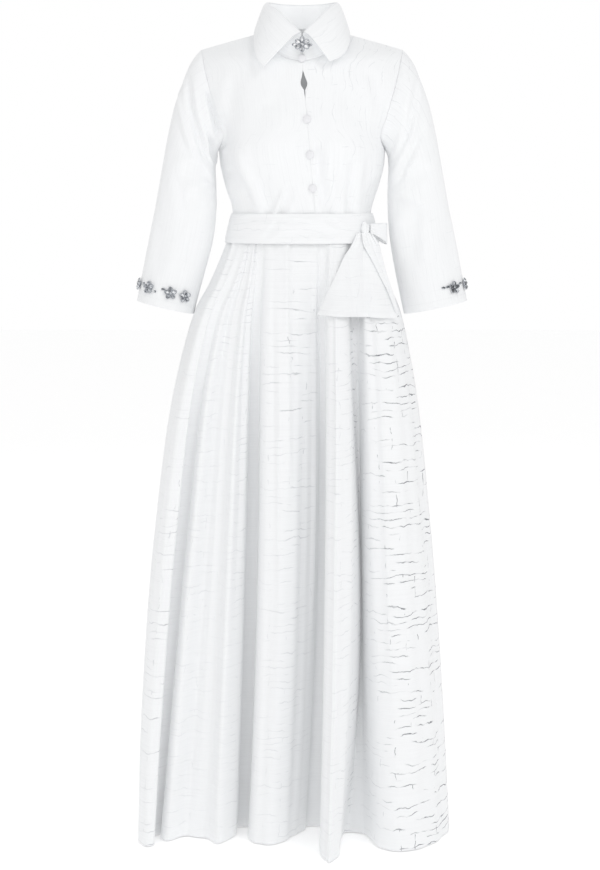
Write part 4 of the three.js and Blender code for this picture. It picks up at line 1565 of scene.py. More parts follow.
# The skirt's soft creases, from fold number and share of the drop, to the same, depth, width in
# folds, and bow.
FRONT_SKIRT_CREASES = (
    (2.2, -0.1, 1.2, 1.1, 5.0, 0.30, 0.1),
    (3.4, -0.1, 3.0, 0.8, -3.4, 0.25, 0.1),
    (8.6, -0.1, 8.9, 1.2, 6.0, 0.22, -0.15),
    (9.6, 0.02, 9.9, 1.2, -4.6, 0.30, 0.2),
    (12.0, -0.1, 12.2, 0.62, 4.0, 0.28, 0.1),
    (17.8, -0.1, 17.5, 1.2, 4.6, 0.12, 0.05),
    (18.4, -0.1, 18.5, 0.5, -4.0, 0.14, -0.06),
    (19.5, 0.1, 19.6, 1.2, 4.4, 0.18, 0.08),
    (20.4, -0.1, 20.5, 0.8, -3.6, 0.20, -0.06),
    (25.8, -0.1, 25.6, 1.2, 4.4, 0.16, 0.1),
    (27.0, 0.2, 26.8, 1.2, -4.0, 0.16, -0.1),
    (32.8, -0.1, 32.6, 0.9, 4.4, 0.2, 0.1),
    (34.0, -0.1, 33.8, 1.2, -4.0, 0.22, 0.12),
    (35.2, 0.1, 35.0, 1.2, 4.8, 0.24, -0.1),
)
BACK_SKIRT_CREASES = (
    (1.0, -0.1, 0.8, 1.2, 4.4, 0.16, 0.05),
    (4.4, -0.1, 4.6, 1.1, 4.4, 0.14, 0.05),
    (5.5, 0.1, 5.4, 1.2, -3.6, 0.14, -0.05),
    (9.6, -0.1, 9.5, 1.2, 4.4, 0.14, 0.06),
    (10.5, -0.1, 10.4, 0.8, -3.6, 0.14, 0.05),
    (14.6, -0.1, 14.4, 1.2, 4.4, 0.14, -0.05),
)


@dataclass
class Skirt:
    """The floor-length skirt, in deep pressed folds in front and box folds behind."""

    weaver: Weaver
    cloth: float = 2.0
    waist_z: float = -362
    hem_z: float = -1486
    waist_half_width: float = 134
    waist_front: float = 96
    waist_back: float = 90
    swing_at: float = 0.41  # where down the drop a fold's swing is measured
    sag_at: float = 2 / 3  # where a sag, which comes lower down, is greatest
    recess_at_waist: float = 0.1  # how open a recess is there
    recess_from: float = 0.05  # the drops between which it opens
    recess_to: float = 0.42
    back_count: int = 6
    back_middle: tuple[float, float] = (-11, -10)
    back_half_width: float = 291
    back_depth: float = 210
    back_recess: float = 84
    rows: int = 110
    samples: int = 6
    hem_turn: float = 34.0  # how high the turned-up hem shows as a faint step
    front_size: tuple[float, float] = (1.5, 1.19)
    front_area: float = 1.34
    back_size: tuple[float, float] = (0.86, 1.19)
    back_area: float = 0.72

    def aside(self, t: float, swing: float, sag: float = 0.0) -> float:
        """How far aside a fold's line is bent at a drop.

        Args:
            t: The drop, from 0 at the waist to 1 at the hem.
            swing: The bend at the drop swing_at.
            sag: What a lower bend adds at the drop sag_at.

        Returns:
            The distance in x.
        """
        swung = t * (1 - t) / (self.swing_at * (1 - self.swing_at))
        sagged = t * t * (1 - t) / (self.sag_at**2 * (1 - self.sag_at))
        return swing * swung + sag * sagged

    def fold_point(self, waist: Vector, hem: Vector, lip: Vector, aside: float, t: float) -> Vector:
        """A point on a fold's line.

        Args:
            waist: Where it leaves the waist seam.
            hem: Where it meets the hem.
            lip: Where it would meet the hem if its recess stayed closed.
            aside: How far it is bent aside there.
            t: The drop, from 0 at the waist to 1 at the hem.

        Returns:
            The point.
        """
        share = smooth((t - self.recess_from) / (self.recess_to - self.recess_from))
        foot = lip.lerp(hem, mix(self.recess_at_waist, 1.0, share))
        point = waist.lerp(foot, FLARE.at(t)["out"])
        point.x += aside
        point.z = mix(self.waist_z, self.hem_z, t)
        return point

    def front_folds(self, t: float) -> list[Vector]:
        """The front's fold lines at a drop, from the -X side seam to the +X one.

        Args:
            t: The drop, from 0 at the waist to 1 at the hem.

        Returns:
            A point on each line.
        """
        points = []
        for waist_x, swing, sag, hem_x, hem_y, lip_y, _, _ in FRONT_FOLDS:
            waist_y = -self.waist_front * math.sqrt(1 - (waist_x / self.waist_half_width) ** 2)
            waist, hem = Vector((waist_x, waist_y, 0)), Vector((hem_x, hem_y, 0))
            lip = Vector((hem_x, lip_y, 0))
            points.append(self.fold_point(waist, hem, lip, self.aside(t, swing, sag), t))
        return points

    def back_hem(self, angle: float, inward: float) -> Vector:
        """Where a back fold meets the hem, at an angle from +X and so far in from the oval."""
        x = self.back_middle[0] + (self.back_half_width - inward) * math.cos(angle)
        return Vector((x, self.back_middle[1] + (self.back_depth - inward) * math.sin(angle), 0))

    def back_folds(self, t: float) -> list[Vector]:
        """The back's fold lines at a drop, from the +X side seam round to the -X one.

        Args:
            t: The drop, from 0 at the waist to 1 at the hem.

        Returns:
            A point on each line.
        """
        points = []
        for fold in range(self.back_count + 1):
            for turn, depth in BACK_FOLD if fold < self.back_count else BACK_FOLD[:1]:
                share = (fold + turn) / self.back_count
                angle = math.pi * share
                waist_x = self.waist_half_width * math.cos(angle)
                waist = Vector((waist_x, self.waist_back * math.sin(angle), 0))
                hem, lip = (self.back_hem(angle, self.back_recess * d) for d in (depth, 0.0))
                swing = mix(FRONT_FOLDS[-1][1], FRONT_FOLDS[0][1], share)
                points.append(self.fold_point(waist, hem, lip, self.aside(t, swing), t))
        return points

    def row(self, folds: list[Vector]) -> list[Vector]:
        """Points on a smooth curve through the fold lines at one height.

        Args:
            folds: A point on each fold line.

        Returns:
            The points.
        """
        ends = [folds[0] * 2 - folds[1], *folds, folds[-1] * 2 - folds[-2]]
        points = [folds[0].copy()]
        for p0, p1, p2, p3 in zip(ends, ends[1:], ends[2:], ends[3:]):
            d0, d1, d2 = (math.sqrt((b - a).length) for a, b in ((p0, p1), (p1, p2), (p2, p3)))
            start = ((p1 - p0) / d0 - (p2 - p0) / (d0 + d1) + (p2 - p1) / d1) * d1
            end = ((p2 - p1) / d1 - (p3 - p1) / (d1 + d2) + (p3 - p2) / d2) * d1
            square = p2 * 3 - p1 * 3 - start * 2 - end
            cube = p1 * 2 - p2 * 2 + start + end
            for i in range(self.samples):
                t = (i + 1) / self.samples
                points.append(p1 + start * t + square * t * t + cube * t * t * t)
        return points

    def anchors(self, hem: list[float], deep: list[bool]) -> list[float]:
        """The place on the flat cloth that each column is measured from, in its own fold.

        Args:
            hem: How far along the hem each column is.
            deep: Whether each fold line is in a recess.

        Returns:
            For each column the middle of the fold that it is in, or a blend of two in a recess.
        """
        runs: list[list[int]] = []
        for k, inside in enumerate(deep):
            if inside:
                continue
            if k == 0 or deep[k - 1]:
                runs.append([k, k])
            runs[-1][1] = k
        middles = []
        for first, last in runs:
            middle = (hem[first * self.samples] + hem[last * self.samples]) / 2
            middles += [(first * self.samples, middle), (last * self.samples, middle)]
        anchors = []
        for i in range(len(hem)):
            after = next((k for k, (column, _) in enumerate(middles) if column >= i), len(middles) - 1)
            before = max(after - 1, 0)
            span = middles[after][0] - middles[before][0]
            share = (i - middles[before][0]) / span if span else 0.0
            anchors.append(mix(middles[before][1], middles[after][1], clamp(share)))
        return anchors

    def make(
        self,
        name: str,
        replaces: str,
        folds_at: Callable[[float], list[Vector]],
        deep: list[bool],
        first_fold: int,
        creases: Creases,
        silver: Callable[[float, float], float],
    ) -> Object:
        """Makes one of the skirt's pieces.

        Args:
            name: The piece's name.
            replaces: The node that it stands for.
            folds_at: Gives the piece's fold lines at a drop.
            deep: Whether each fold line is in a recess.
            first_fold: The number of the first of them, as the creases count folds.
            creases: The soft creases.
            silver: How strongly and how dark the silver lines are drawn at a fold number and a drop, a
                painted reflection.

        Returns:
            The piece.
        """
        drops = [(1 - j / self.rows) ** 1.35 for j in range(self.rows + 1)]
        points = [self.row(folds_at(t)) for t in drops]
        columns = len(points[0]) - 1
        folds = columns / self.samples
        hem = [a for a, _ in arc_lengths(points[:1], anchor=0.0)[0]]
        anchors = self.anchors(hem, deep)
        flat = []
        for t, row in zip(drops, points):
            across = sum((b - a).length for a, b in zip(row, row[1:])) / hem[-1]
            up = (1 - t) * (self.waist_z - self.hem_z)
            flat.append([(a + (h - a) * across, up) for h, a in zip(hem, anchors)])

        def relief(across: float, up: float, point: Vector) -> float:
            """Raises the creases, and marks the step of the turned-up hem.

            Args:
                across: From 0 to 1 across the cloth.
                up: From 0 to 1 up it.
                point: The point there.

            Returns:
                How far out, in millimetres.
            """
            height = creases.height(first_fold + across * folds, (1 - up) ** 1.35)
            held = smooth(min(across, 1 - across) * columns / 4) * smooth((1 - up) * 40)
            step = -0.35 * bump(point.z - self.hem_z - self.hem_turn, 4)
            return height * held + step

        return self.weaver.weave(
            name,
            points,
            self.cloth,
            replaces,
            flat=flat,
            relief=relief,
            silver=lambda across, up: silver(first_fold + across * folds, (1 - up) ** 1.35),
        )

    def front_silver_and_reflection(self, fold: float, t: float) -> float:
        """How strongly and how dark the silver lines are drawn in front, a painted reflection, by the table
        of folds.

        Args:
            fold: The place among the folds.
            t: The drop, from 0 at the waist to 1 at the hem.

        Returns:
            A share from 0 to 1.
        """
        low = min(int(fold), len(FRONT_FOLDS) - 2)
        waist, hem = (mix(FRONT_FOLDS[low][k], FRONT_FOLDS[low + 1][k], fold - low) for k in (6, 7))
        return mix(waist, hem, smooth(t * 1.4 - 0.2))

    def build(self) -> list[Object]:
        """Makes the front and both halves of the back.

        Returns:
            The three pieces.
        """
        front = self.make(
            "cloth_skirt_front",
            "skirt_front",
            self.front_folds,
            [row[4] != row[5] for row in FRONT_FOLDS],
            0,
            Creases(FRONT_SKIRT_CREASES),
            self.front_silver_and_reflection,
        )
        pieces = [front]
        middle = self.back_count * len(BACK_FOLD) // 2
        in_recess = [depth == 1.0 for _, depth in BACK_FOLD] * self.back_count + [False]
        for side in Side:
            part = slice(0, middle + 1) if side is Side.LEFT else slice(middle, None)
            piece = self.make(
                f"cloth_skirt_back_{side.word}",
                f"skirt_back_{side.word}",
                lambda t, part=part: self.back_folds(t)[part],
                in_recess[part],
                0,
                Creases(BACK_SKIRT_CREASES),
                lambda fold, t: 0.5,
            )
            pieces.append(piece)
        return pieces


# Sash

# The sash's two hanging ends from the knot down: the left and right edges at each height, and how
# much lower the right edge is.
LOWER_TAIL = Table(
    "at left_x right_x z slant",
    (
        (0, 101, 122, -371, 0),
        (0.1, 90, 137, -394, 0),
        (0.2, 79, 143, -410, -1),
        (0.4, 64, 150, -440, -3),
        (0.6, 50, 158, -469, -5),
        (0.8, 38, 167, -494, -8),
        (1, 27, 176, -517, -10),
    ),
)
UPPER_TAIL = Table(
    "at left_x right_x z slant",
    (
        (0, 110, 130, -371, 0),
        (0.13, 113, 143, -392, 0),
        (0.3, 121, 147, -407, 0),
        (0.5, 135, 153.5, -433, 0),
        (0.68, 146, 160, -455, 0),
        (0.84, 158, 168, -479, 0),
        (1, 172, 177.5, -515, 0),
    ),
)
# The sash's creases, from arc length and z, to the same, depth, width and bow.
SASH_CREASES = (
    (-330, -346, -170, -352, 1.4, 4, 2),
    (-250, -376, -90, -368, 1.6, 4, -2),
    (-226, -341, -252, -384, 1.8, 4, 2),
    (-213, -347, -168, -349, -1.6, 4, 5),
    (-190, -358, -130, -384, 1.8, 5, 2),
    (-155, -340, -118, -362, 1.9, 4, -2),
    (60, -350, 210, -356, 1.4, 4, 2),
    (150, -374, 330, -368, 1.4, 4, -2),
)


@dataclass
class Sash:
    """A sash round the waist, tied on the +X side with one loop and two hanging ends."""

    weaver: Weaver
    skirt: Skirt
    cloth: float = 1.8
    top_z: float = -335
    foot_z: float = -390
    top: tuple[float, float, float] = (132, 99.5, 92)  # half width, front, back
    foot: tuple[float, float, float] = (144.5, 104.5, 99)
    tail_rounding: float = 26.0  # how broadly a tail bridges the folds it hangs over
    tail_slope: float = 0.15
    knot: tuple[float, float] = (112, -363)
    knot_size: tuple[float, float, float] = (10.5, 7.5, 13)
    knot_sink: float = 1.5  # how far the knot presses into the band
    loop_length: float = 42
    loop_swell: float = 8
    loop_heights: tuple[float, float] = (16, 40)
    loop_droop: float = 10
    loop_cloth: float = 1.4
    edge_roll: float = 1.1  # how far the band's long edges roll in

    def point(self, angle: float, z: float) -> Vector:
        """A point on the sash's outer face, at an angle anticlockwise from +X.

        Args:
            angle: In radians.
            z: The height.

        Returns:
            The point.
        """
        share = clamp((z - self.foot_z) / (self.top_z - self.foot_z))
        end = 1 if math.sin(angle) < 0 else 2
        half_width = mix(self.foot[0], self.top[0], share) + self.cloth
        depth = mix(self.foot[end], self.top[end], share) + self.cloth
        return Vector((half_width * math.cos(angle), depth * math.sin(angle), z))

    def band(self) -> Object:
        """Makes the band.

        Returns:
            The piece.
        """
        columns, rows = 220, 22
        points = [
            [
                self.point(2 * math.pi * i / columns, mix(self.foot_z, self.top_z, j / rows))
                for i in range(columns + 1)
            ]
            for j in range(rows + 1)
        ]
        points = [[*row[:-1], row[0].copy()] for row in points]
        creases = Creases(SASH_CREASES)
        arc = 2 * math.pi * 120

        def relief(across: float, up: float, point: Vector) -> float:
            """Raises the creases and rolls both long edges in.

            Args:
                across: From 0 to 1 across the cloth.
                up: From 0 to 1 up it.
                point: The point there.

            Returns:
                How far out, in millimetres.
            """
            place = (across if across < 0.5 else across - 1) * arc
            roll = self.edge_roll * (1 - smooth(min(up, 1 - up) * 5))
            return creases.height(place, point.z) * smooth(min(up, 1 - up) * 8) - roll

        piece = self.weaver.weave(
            "cloth_sash_band",
            points,
            self.cloth,
            "sash_band",
            closed=True,
            relief=relief,
            silver=lambda across, up: 0.16,
        )
        return piece

    def outline(self, x: float, z: float) -> float:
        """How far forward the sash and the skirt's front reach, bridging the folds between.

        Args:
            x: Across from the middle.
            z: The height.

        Returns:
            The y of the foremost cloth.
        """
        t = (z - self.skirt.waist_z) / (self.skirt.hem_z - self.skirt.waist_z)
        folds = self.skirt.front_folds(t)
        skirt = min(p.y + (x - p.x) ** 2 / (2 * self.tail_rounding) for p in folds)
        level = max(z, self.foot_z)
        angle = -math.acos(clamp(x / self.point(0.0, level).x, -1.0, 1.0))
        sash = self.point(angle, level).y + (level - z) * self.tail_slope
        return min(skirt, sash)

    def tail(
        self, name: str, node: str, table: Table, clearance: float, folds: int, depth: float
    ) -> Object:
        """Makes a hanging end, with soft folds that fan out from the knot.

        Args:
            name: The piece's name.
            node: The node that it stands for.
            table: Its edges.
            clearance: How far its outer face is from what it hangs over.
            folds: How many folds it has.
            depth: How deep they are at the end.

        Returns:
            The piece.
        """
        columns, rows = 44, 60
        points = []
        for j in range(rows + 1):
            at = 1 - j / rows
            row = table.at(at)
            line = []
            for i in range(columns + 1):
                u = i / columns
                x = mix(row["left_x"], row["right_x"], u)
                z = row["z"] + row["slant"] * u
                fold = depth * at * (0.5 - 0.5 * math.cos(2 * math.pi * folds * u))
                line.append(Vector((x, self.outline(x, z) - clearance - fold, z)))
            points.append(line)

        def relief(across: float, up: float, point: Vector) -> float:
            """Gathers the cloth at the knot and lets a few slack creases run down from it.

            Args:
                across: From 0 to 1 across the cloth.
                up: From 0 to 1 up it.
                point: The point there.

            Returns:
                How far out, in millimetres.
            """
            gather = 0.9 * math.sin(across * math.pi * 9) * smooth((up - 0.72) / 0.25)
            slack = -1.1 * bump(across - mix(0.62, 0.5, up), 0.07) * smooth(up * 3)
            return gather + slack - 0.5 * (1 - smooth(min(across, 1 - across) * 22))

        piece = self.weaver.weave(name, points, self.cloth, node, relief=relief, silver=lambda a, b: 0.14)
        return piece

    def seat(self) -> tuple[Vector, Vector, Vector]:
        """Where the knot sits on the sash, the way out from it and the way on along the sash.

        Returns:
            The place and the two directions.
        """
        x, z = self.knot
        angle = -math.acos(x / self.point(0.0, z).x)
        along = (self.point(angle + 0.02, z) - self.point(angle - 0.02, z)).normalized()
        return self.point(angle, z), Vector((along.y, -along.x, 0.0)), along

    def make_knot(self) -> Object:
        """Makes the knot: cloth drawn tight round the ends in folds that meet at its middle.

        Returns:
            The piece.
        """
        seat, out, along = self.seat()
        half_width, half_depth, half_height = self.knot_size
        bm = bmesh.new()
        cut = bm.loops.layers.uv.new(CUT_MAP)
        yarn = bm.verts.layers.float.new(SILVER_AND_REFLECTION)
        bmesh.ops.create_uvsphere(bm, u_segments=72, v_segments=40, radius=1.0)
        centre = seat + out * (half_depth - self.knot_sink)
        for vert in bm.verts:
            x, y, z = vert.co
            pinch = 1 - 0.3 * bump(z - 0.2, 0.5)
            twist = math.atan2(z + 0.1, x + 0.2) * 4 + 2.4 * y
            fold = 0.94 + 0.06 * math.cos(twist) * (1 - abs(y) ** 3) - 0.16 * bump(x - 0.5 * z - 0.1, 0.13)
            local = Vector((x * half_width * pinch, y * half_depth, z * half_height)) * fold
            vert.co = (centre + along * local.x - out * local.y + Vector((0, 0, local.z))) * MM
            vert[yarn] = 0.2
        for face in bm.faces:
            for loop in face.loops:
                loop[cut].uv = (loop.vert.co.x, loop.vert.co.z)
        bmesh.ops.recalc_face_normals(bm, faces=bm.faces)
        piece = publish("sash_knot_cloth", bm, self.weaver.cloth, Slot.CLOTH)
        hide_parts("sash_knot")
        return piece

    def loop(self) -> Object:
        """Makes the loop, a long drop-shaped turn of the sash that droops from the knot.

        Returns:
            The piece.
        """
        seat, out, along = self.seat()
        start = seat + along * (self.knot_size[0] - SEAM_GAP * 3) + out * (self.loop_swell + 2 * self.cloth)
        columns, rows = 88, 26
        points = []
        for j in range(rows + 1):
            line = []
            for i in range(columns + 1):
                angle = 2 * math.pi * i / columns
                reach = (1 - math.cos(angle)) / 2
                swell = (self.loop_swell * math.sqrt(reach) + self.cloth) * math.sin(angle)
                height = mix(*self.loop_heights, reach)
                place = start + along * (reach * self.loop_length) + out * swell
                place.z += height * (j / rows - 0.5) - self.loop_droop * reach
                line.append(place)
            points.append([*line[:-1], line[0].copy()])

        def relief(across: float, up: float, point: Vector) -> float:
            """Gathers the loop towards the knot."""
            reach = (1 - math.cos(2 * math.pi * across)) / 2
            return 0.7 * math.sin(up * math.pi * 6) * (1 - smooth(reach * 1.6))

        piece = self.weaver.weave(
            "cloth_sash_loop",
            points,
            self.loop_cloth,
            "sash_loop",
            closed=True,
            relief=relief,
            silver=lambda a, b: 0.2,
        )
        return piece

    def build(self) -> list[Object]:
        """Makes the band, the knot, the loop and both ends.

        Returns:
            The five pieces.
        """
        pieces = [self.band(), self.make_knot(), self.loop()]
        pieces.append(
            self.tail("cloth_sash_tail_lower", "sash_tail_lower", LOWER_TAIL, 5.2, 2, 3.0)
        )
        pieces.append(
            self.tail("cloth_sash_tail_upper", "sash_tail_upper", UPPER_TAIL, 9.5, 1, 0.0)
        )
        return pieces


# Buttons, jewels and stitching


@dataclass
class Buttons:
    """Four covered buttons: three down the front and one at the neck band."""

    bodice: Bodice
    collar: Collar
    satin: Material
    radius: float = 7.5
    back_radius: float = 6.9
    height: float = 4.5
    rim: float = 1.2
    front_z: tuple[float, ...] = (-164, -228, -289)
    neck_z: float = -52
    sides: int = 56

    def button(self, name: str, node: str, place: Vector, out: Vector) -> Object:
        """Spins one button and sets it at a place, facing out.

        Args:
            name: The piece's name.
            node: The node that it stands for.
            place: Where it is sewn on.
            out: The way that it faces.

        Returns:
            The piece.
        """
        bm = bmesh.new()
        profile = [(0.0, 0.0), (self.back_radius, 0.0), (self.radius, self.rim * 0.55)]
        for i in range(9):
            angle = math.pi / 2 * i / 8
            across = self.radius * math.cos(angle) if i < 8 else 0.0
            profile.append((across, self.rim + (self.height - self.rim) * math.sin(angle)))
        verts = [bm.verts.new((x * MM, 0.0, z * MM)) for x, z in profile]
        edges = [bm.edges.new(pair) for pair in zip(verts, verts[1:])]
        bmesh.ops.spin(
            bm,
            geom=verts + edges,
            cent=(0, 0, 0),
            axis=(0, 0, 1),
            angle=2 * math.pi,
            steps=self.sides,
            use_merge=True,
        )
        bmesh.ops.remove_doubles(bm, verts=bm.verts, dist=1e-6)
        for vert in bm.verts:
            pucker = 0.018 * math.cos(math.atan2(vert.co.y, vert.co.x) * 14)
            share = smooth(1 - vert.co.z / (self.height * MM) * 1.6)
            vert.co.x *= 1 + pucker * share
            vert.co.y *= 1 + pucker * share
        bmesh.ops.recalc_face_normals(bm, faces=bm.faces)
        bmesh.ops.transform(bm, matrix=outward_frame((place + out * 2 * SEAM_GAP) * MM, out), verts=bm.verts)
        piece = publish(name, bm, self.satin, Slot.BUTTON)
        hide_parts(node)
        return piece

    def build(self) -> list[Object]:
        """Makes all four.

        Returns:
            The four pieces.
        """
        pieces = []
        for i, z in enumerate(self.front_z, start=1):
            x = self.bodice.line_x(z)
            across = self.bodice.surface_at(x + 1, z) - self.bodice.surface_at(x - 1, z)
            up = self.bodice.surface_at(x, z + 1) - self.bodice.surface_at(x, z - 1)
            out = across.cross(up).normalized()
            place = self.bodice.surface_at(x, z)
            pieces.append(self.button(f"covered_button_{i}", f"button_{i}", place, out))
        forward = Vector((0.0, -1.0, 0.0))
        place = self.collar.band_front(self.neck_z)
        pieces.append(self.button("covered_button_neck", "button_neck", place, forward))
        return pieces


class Cut(Enum):
    """The shapes that the stones are cut to."""

    ROUND = "round"
    LEAF = "leaf"


@dataclass
class Jeweller:
    """Sets cut stones in claws, in a mesh of stones and a mesh of metal for each jewel."""

    dice: random.Random
    stones: bmesh.types.BMesh = field(default_factory=bmesh.new)
    metal: bmesh.types.BMesh = field(default_factory=bmesh.new)

    def stone(self, cut: Cut, place: Matrix, length: float, width: float, height: float) -> None:
        """Adds a faceted stone, its girdle at the place's origin and its table towards +Z.

        Args:
            cut: Its shape.
            place: Where it goes, in metres.
            length: Its length along X.
            width: Its width.
            height: Its height over the girdle.
        """
        facet = self.stones.verts.layers.float.get(FACET_REFLECTION) or self.stones.verts.layers.float.new(FACET_REFLECTION)
        sides = 8 if cut is Cut.ROUND else 10
        made = bmesh.ops.create_cone(
            self.stones, cap_ends=True, segments=sides, radius1=0.5, radius2=0.26, depth=1.0
        )["verts"]
        for vert in made:
            upper = vert.co.z > 0
            vert.co.z = height if upper else 0.0
            if upper:
                vert.co.xy = Matrix.Rotation(math.pi / sides, 2) @ vert.co.xy
            if cut is Cut.LEAF:
                vert.co.y *= 1 - 0.55 * abs(vert.co.x * 2) ** 1.5
            vert.co.x *= length
            vert.co.y *= width
            vert[facet] = 0.0
        bmesh.ops.transform(self.stones, matrix=place @ Matrix.Scale(MM, 4), verts=made)

    def claws(self, place: Matrix, length: float, width: float, count: int, thick: float) -> None:
        """Adds a rim round a stone and claws that hold it.

        Args:
            place: The stone's place and turn.
            length: The setting's length.
            width: The setting's width.
            count: How many claws it has.
            thick: How thick it is.
        """
        made = bmesh.ops.create_cone(
            self.metal, cap_ends=False, segments=16, radius1=0.54, radius2=0.5, depth=1.0
        )["verts"]
        rim = list({face for vert in made for face in vert.link_faces})
        walls = bmesh.ops.extrude_face_region(self.metal, geom=rim)["geom"]
        inner = [item for item in walls if isinstance(item, bmesh.types.BMVert)]
        for vert in inner:
            vert.co.xy *= 0.86
        for vert in [*made, *inner]:
            vert.co = Vector((vert.co.x * length, vert.co.y * width, (vert.co.z - 0.3) * thick))
        shaped = [*made, *inner]
        for i in range(count):
            angle = 2 * math.pi * (i + 0.5) / count
            tip = Vector((0.5 * length * math.cos(angle), 0.5 * width * math.sin(angle), thick * 0.5))
            ball = bmesh.ops.create_icosphere(
                self.metal, subdivisions=1, radius=thick * 0.42, matrix=Matrix.Translation(tip)
            )["verts"]
            shaped += ball
        bmesh.ops.transform(self.metal, matrix=place @ Matrix.Scale(MM, 4), verts=shaped)

    def bead(self, place: Matrix, radius: float) -> None:
        """Adds a round bead of metal."""
        made = bmesh.ops.create_icosphere(self.metal, subdivisions=2, radius=radius)["verts"]
        bmesh.ops.transform(self.metal, matrix=place @ Matrix.Scale(MM, 4), verts=made)

    def plate(self, place: Matrix, radius: float, thick: float) -> None:
        """Adds the round plate behind a jewel, its back at the place's origin.

        Args:
            place: The plate's place and turn.
            radius: Its radius at the back.
            thick: How thick it is.
        """
        made = bmesh.ops.create_cone(
            self.metal,
            cap_ends=True,
            segments=28,
            radius1=radius,
            radius2=radius * 0.9,
            depth=thick,
            matrix=Matrix.Translation((0, 0, thick / 2)),
        )["verts"]
        bmesh.ops.transform(self.metal, matrix=place @ Matrix.Scale(MM, 4), verts=made)

    def flower(self, place: Matrix, petals: int, ring: float, petal: float, centre: float) -> None:
        """Adds a flower of leaf-cut petals round a round stone, with beads between the petals.

        Args:
            place: The flower's place and turn.
            petals: How many petals it has.
            ring: How far out the petals lie.
            petal: Nearly half a petal's length.
            centre: Seven tenths of the middle stone's width.
        """
        self.plate(place, ring * 0.95, petal * 0.5)
        lift = petal * 0.5
        for i in range(petals):
            angle = 2 * math.pi * i / petals + math.pi / 2
            turn = Matrix.Rotation(angle, 4, "Z")
            tip_up = Matrix.Rotation(math.radians(-12), 4, "Y")
            seat = place @ turn @ Matrix.Translation(Vector((ring, 0, lift)) * MM) @ tip_up
            self.claws(seat, petal * 2.3, petal * 1.75, 4, petal * 0.34)
            self.stone(Cut.LEAF, seat, petal * 2.1, petal * 1.6, petal * 0.62)
            between = Matrix.Rotation(angle + math.pi / petals, 4, "Z")
            spot = Matrix.Translation(Vector((ring * 0.92, 0, lift * 1.15)) * MM)
            self.bead(place @ between @ spot, petal * 0.17)
        seat = place @ Matrix.Translation(Vector((0, 0, lift + petal * 0.3)) * MM)
        self.claws(seat, centre * 1.5, centre * 1.5, 6, centre * 0.4)
        self.stone(Cut.ROUND, seat, centre * 1.4, centre * 1.4, centre * 0.6)

    def finish(self, name: str, glass: Material, metal: Material, nodes: Sequence[str]) -> list[Object]:
        """Paints each facet one random grey, a painted reflection, and publishes both meshes.

        Args:
            name: The jewel's name, to which the mesh's part is added.
            glass: The stones' finish.
            metal: The settings' finish.
            nodes: The nodes that the stones stand for.

        Returns:
            The stones and the settings.
        """
        bmesh.ops.split_edges(self.stones, edges=self.stones.edges)
        facet = self.stones.verts.layers.float[FACET_REFLECTION]
        for face in self.stones.faces:
            shade = self.dice.random()
            for vert in face.verts:
                vert[facet] = shade
        stones = publish(f"{name}_stones", self.stones, glass, Slot.STONES, smoothly=False)
        if nodes:
            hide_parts(*nodes)
        return [stones, publish(f"{name}_settings", self.metal, metal, Slot.STONES)]


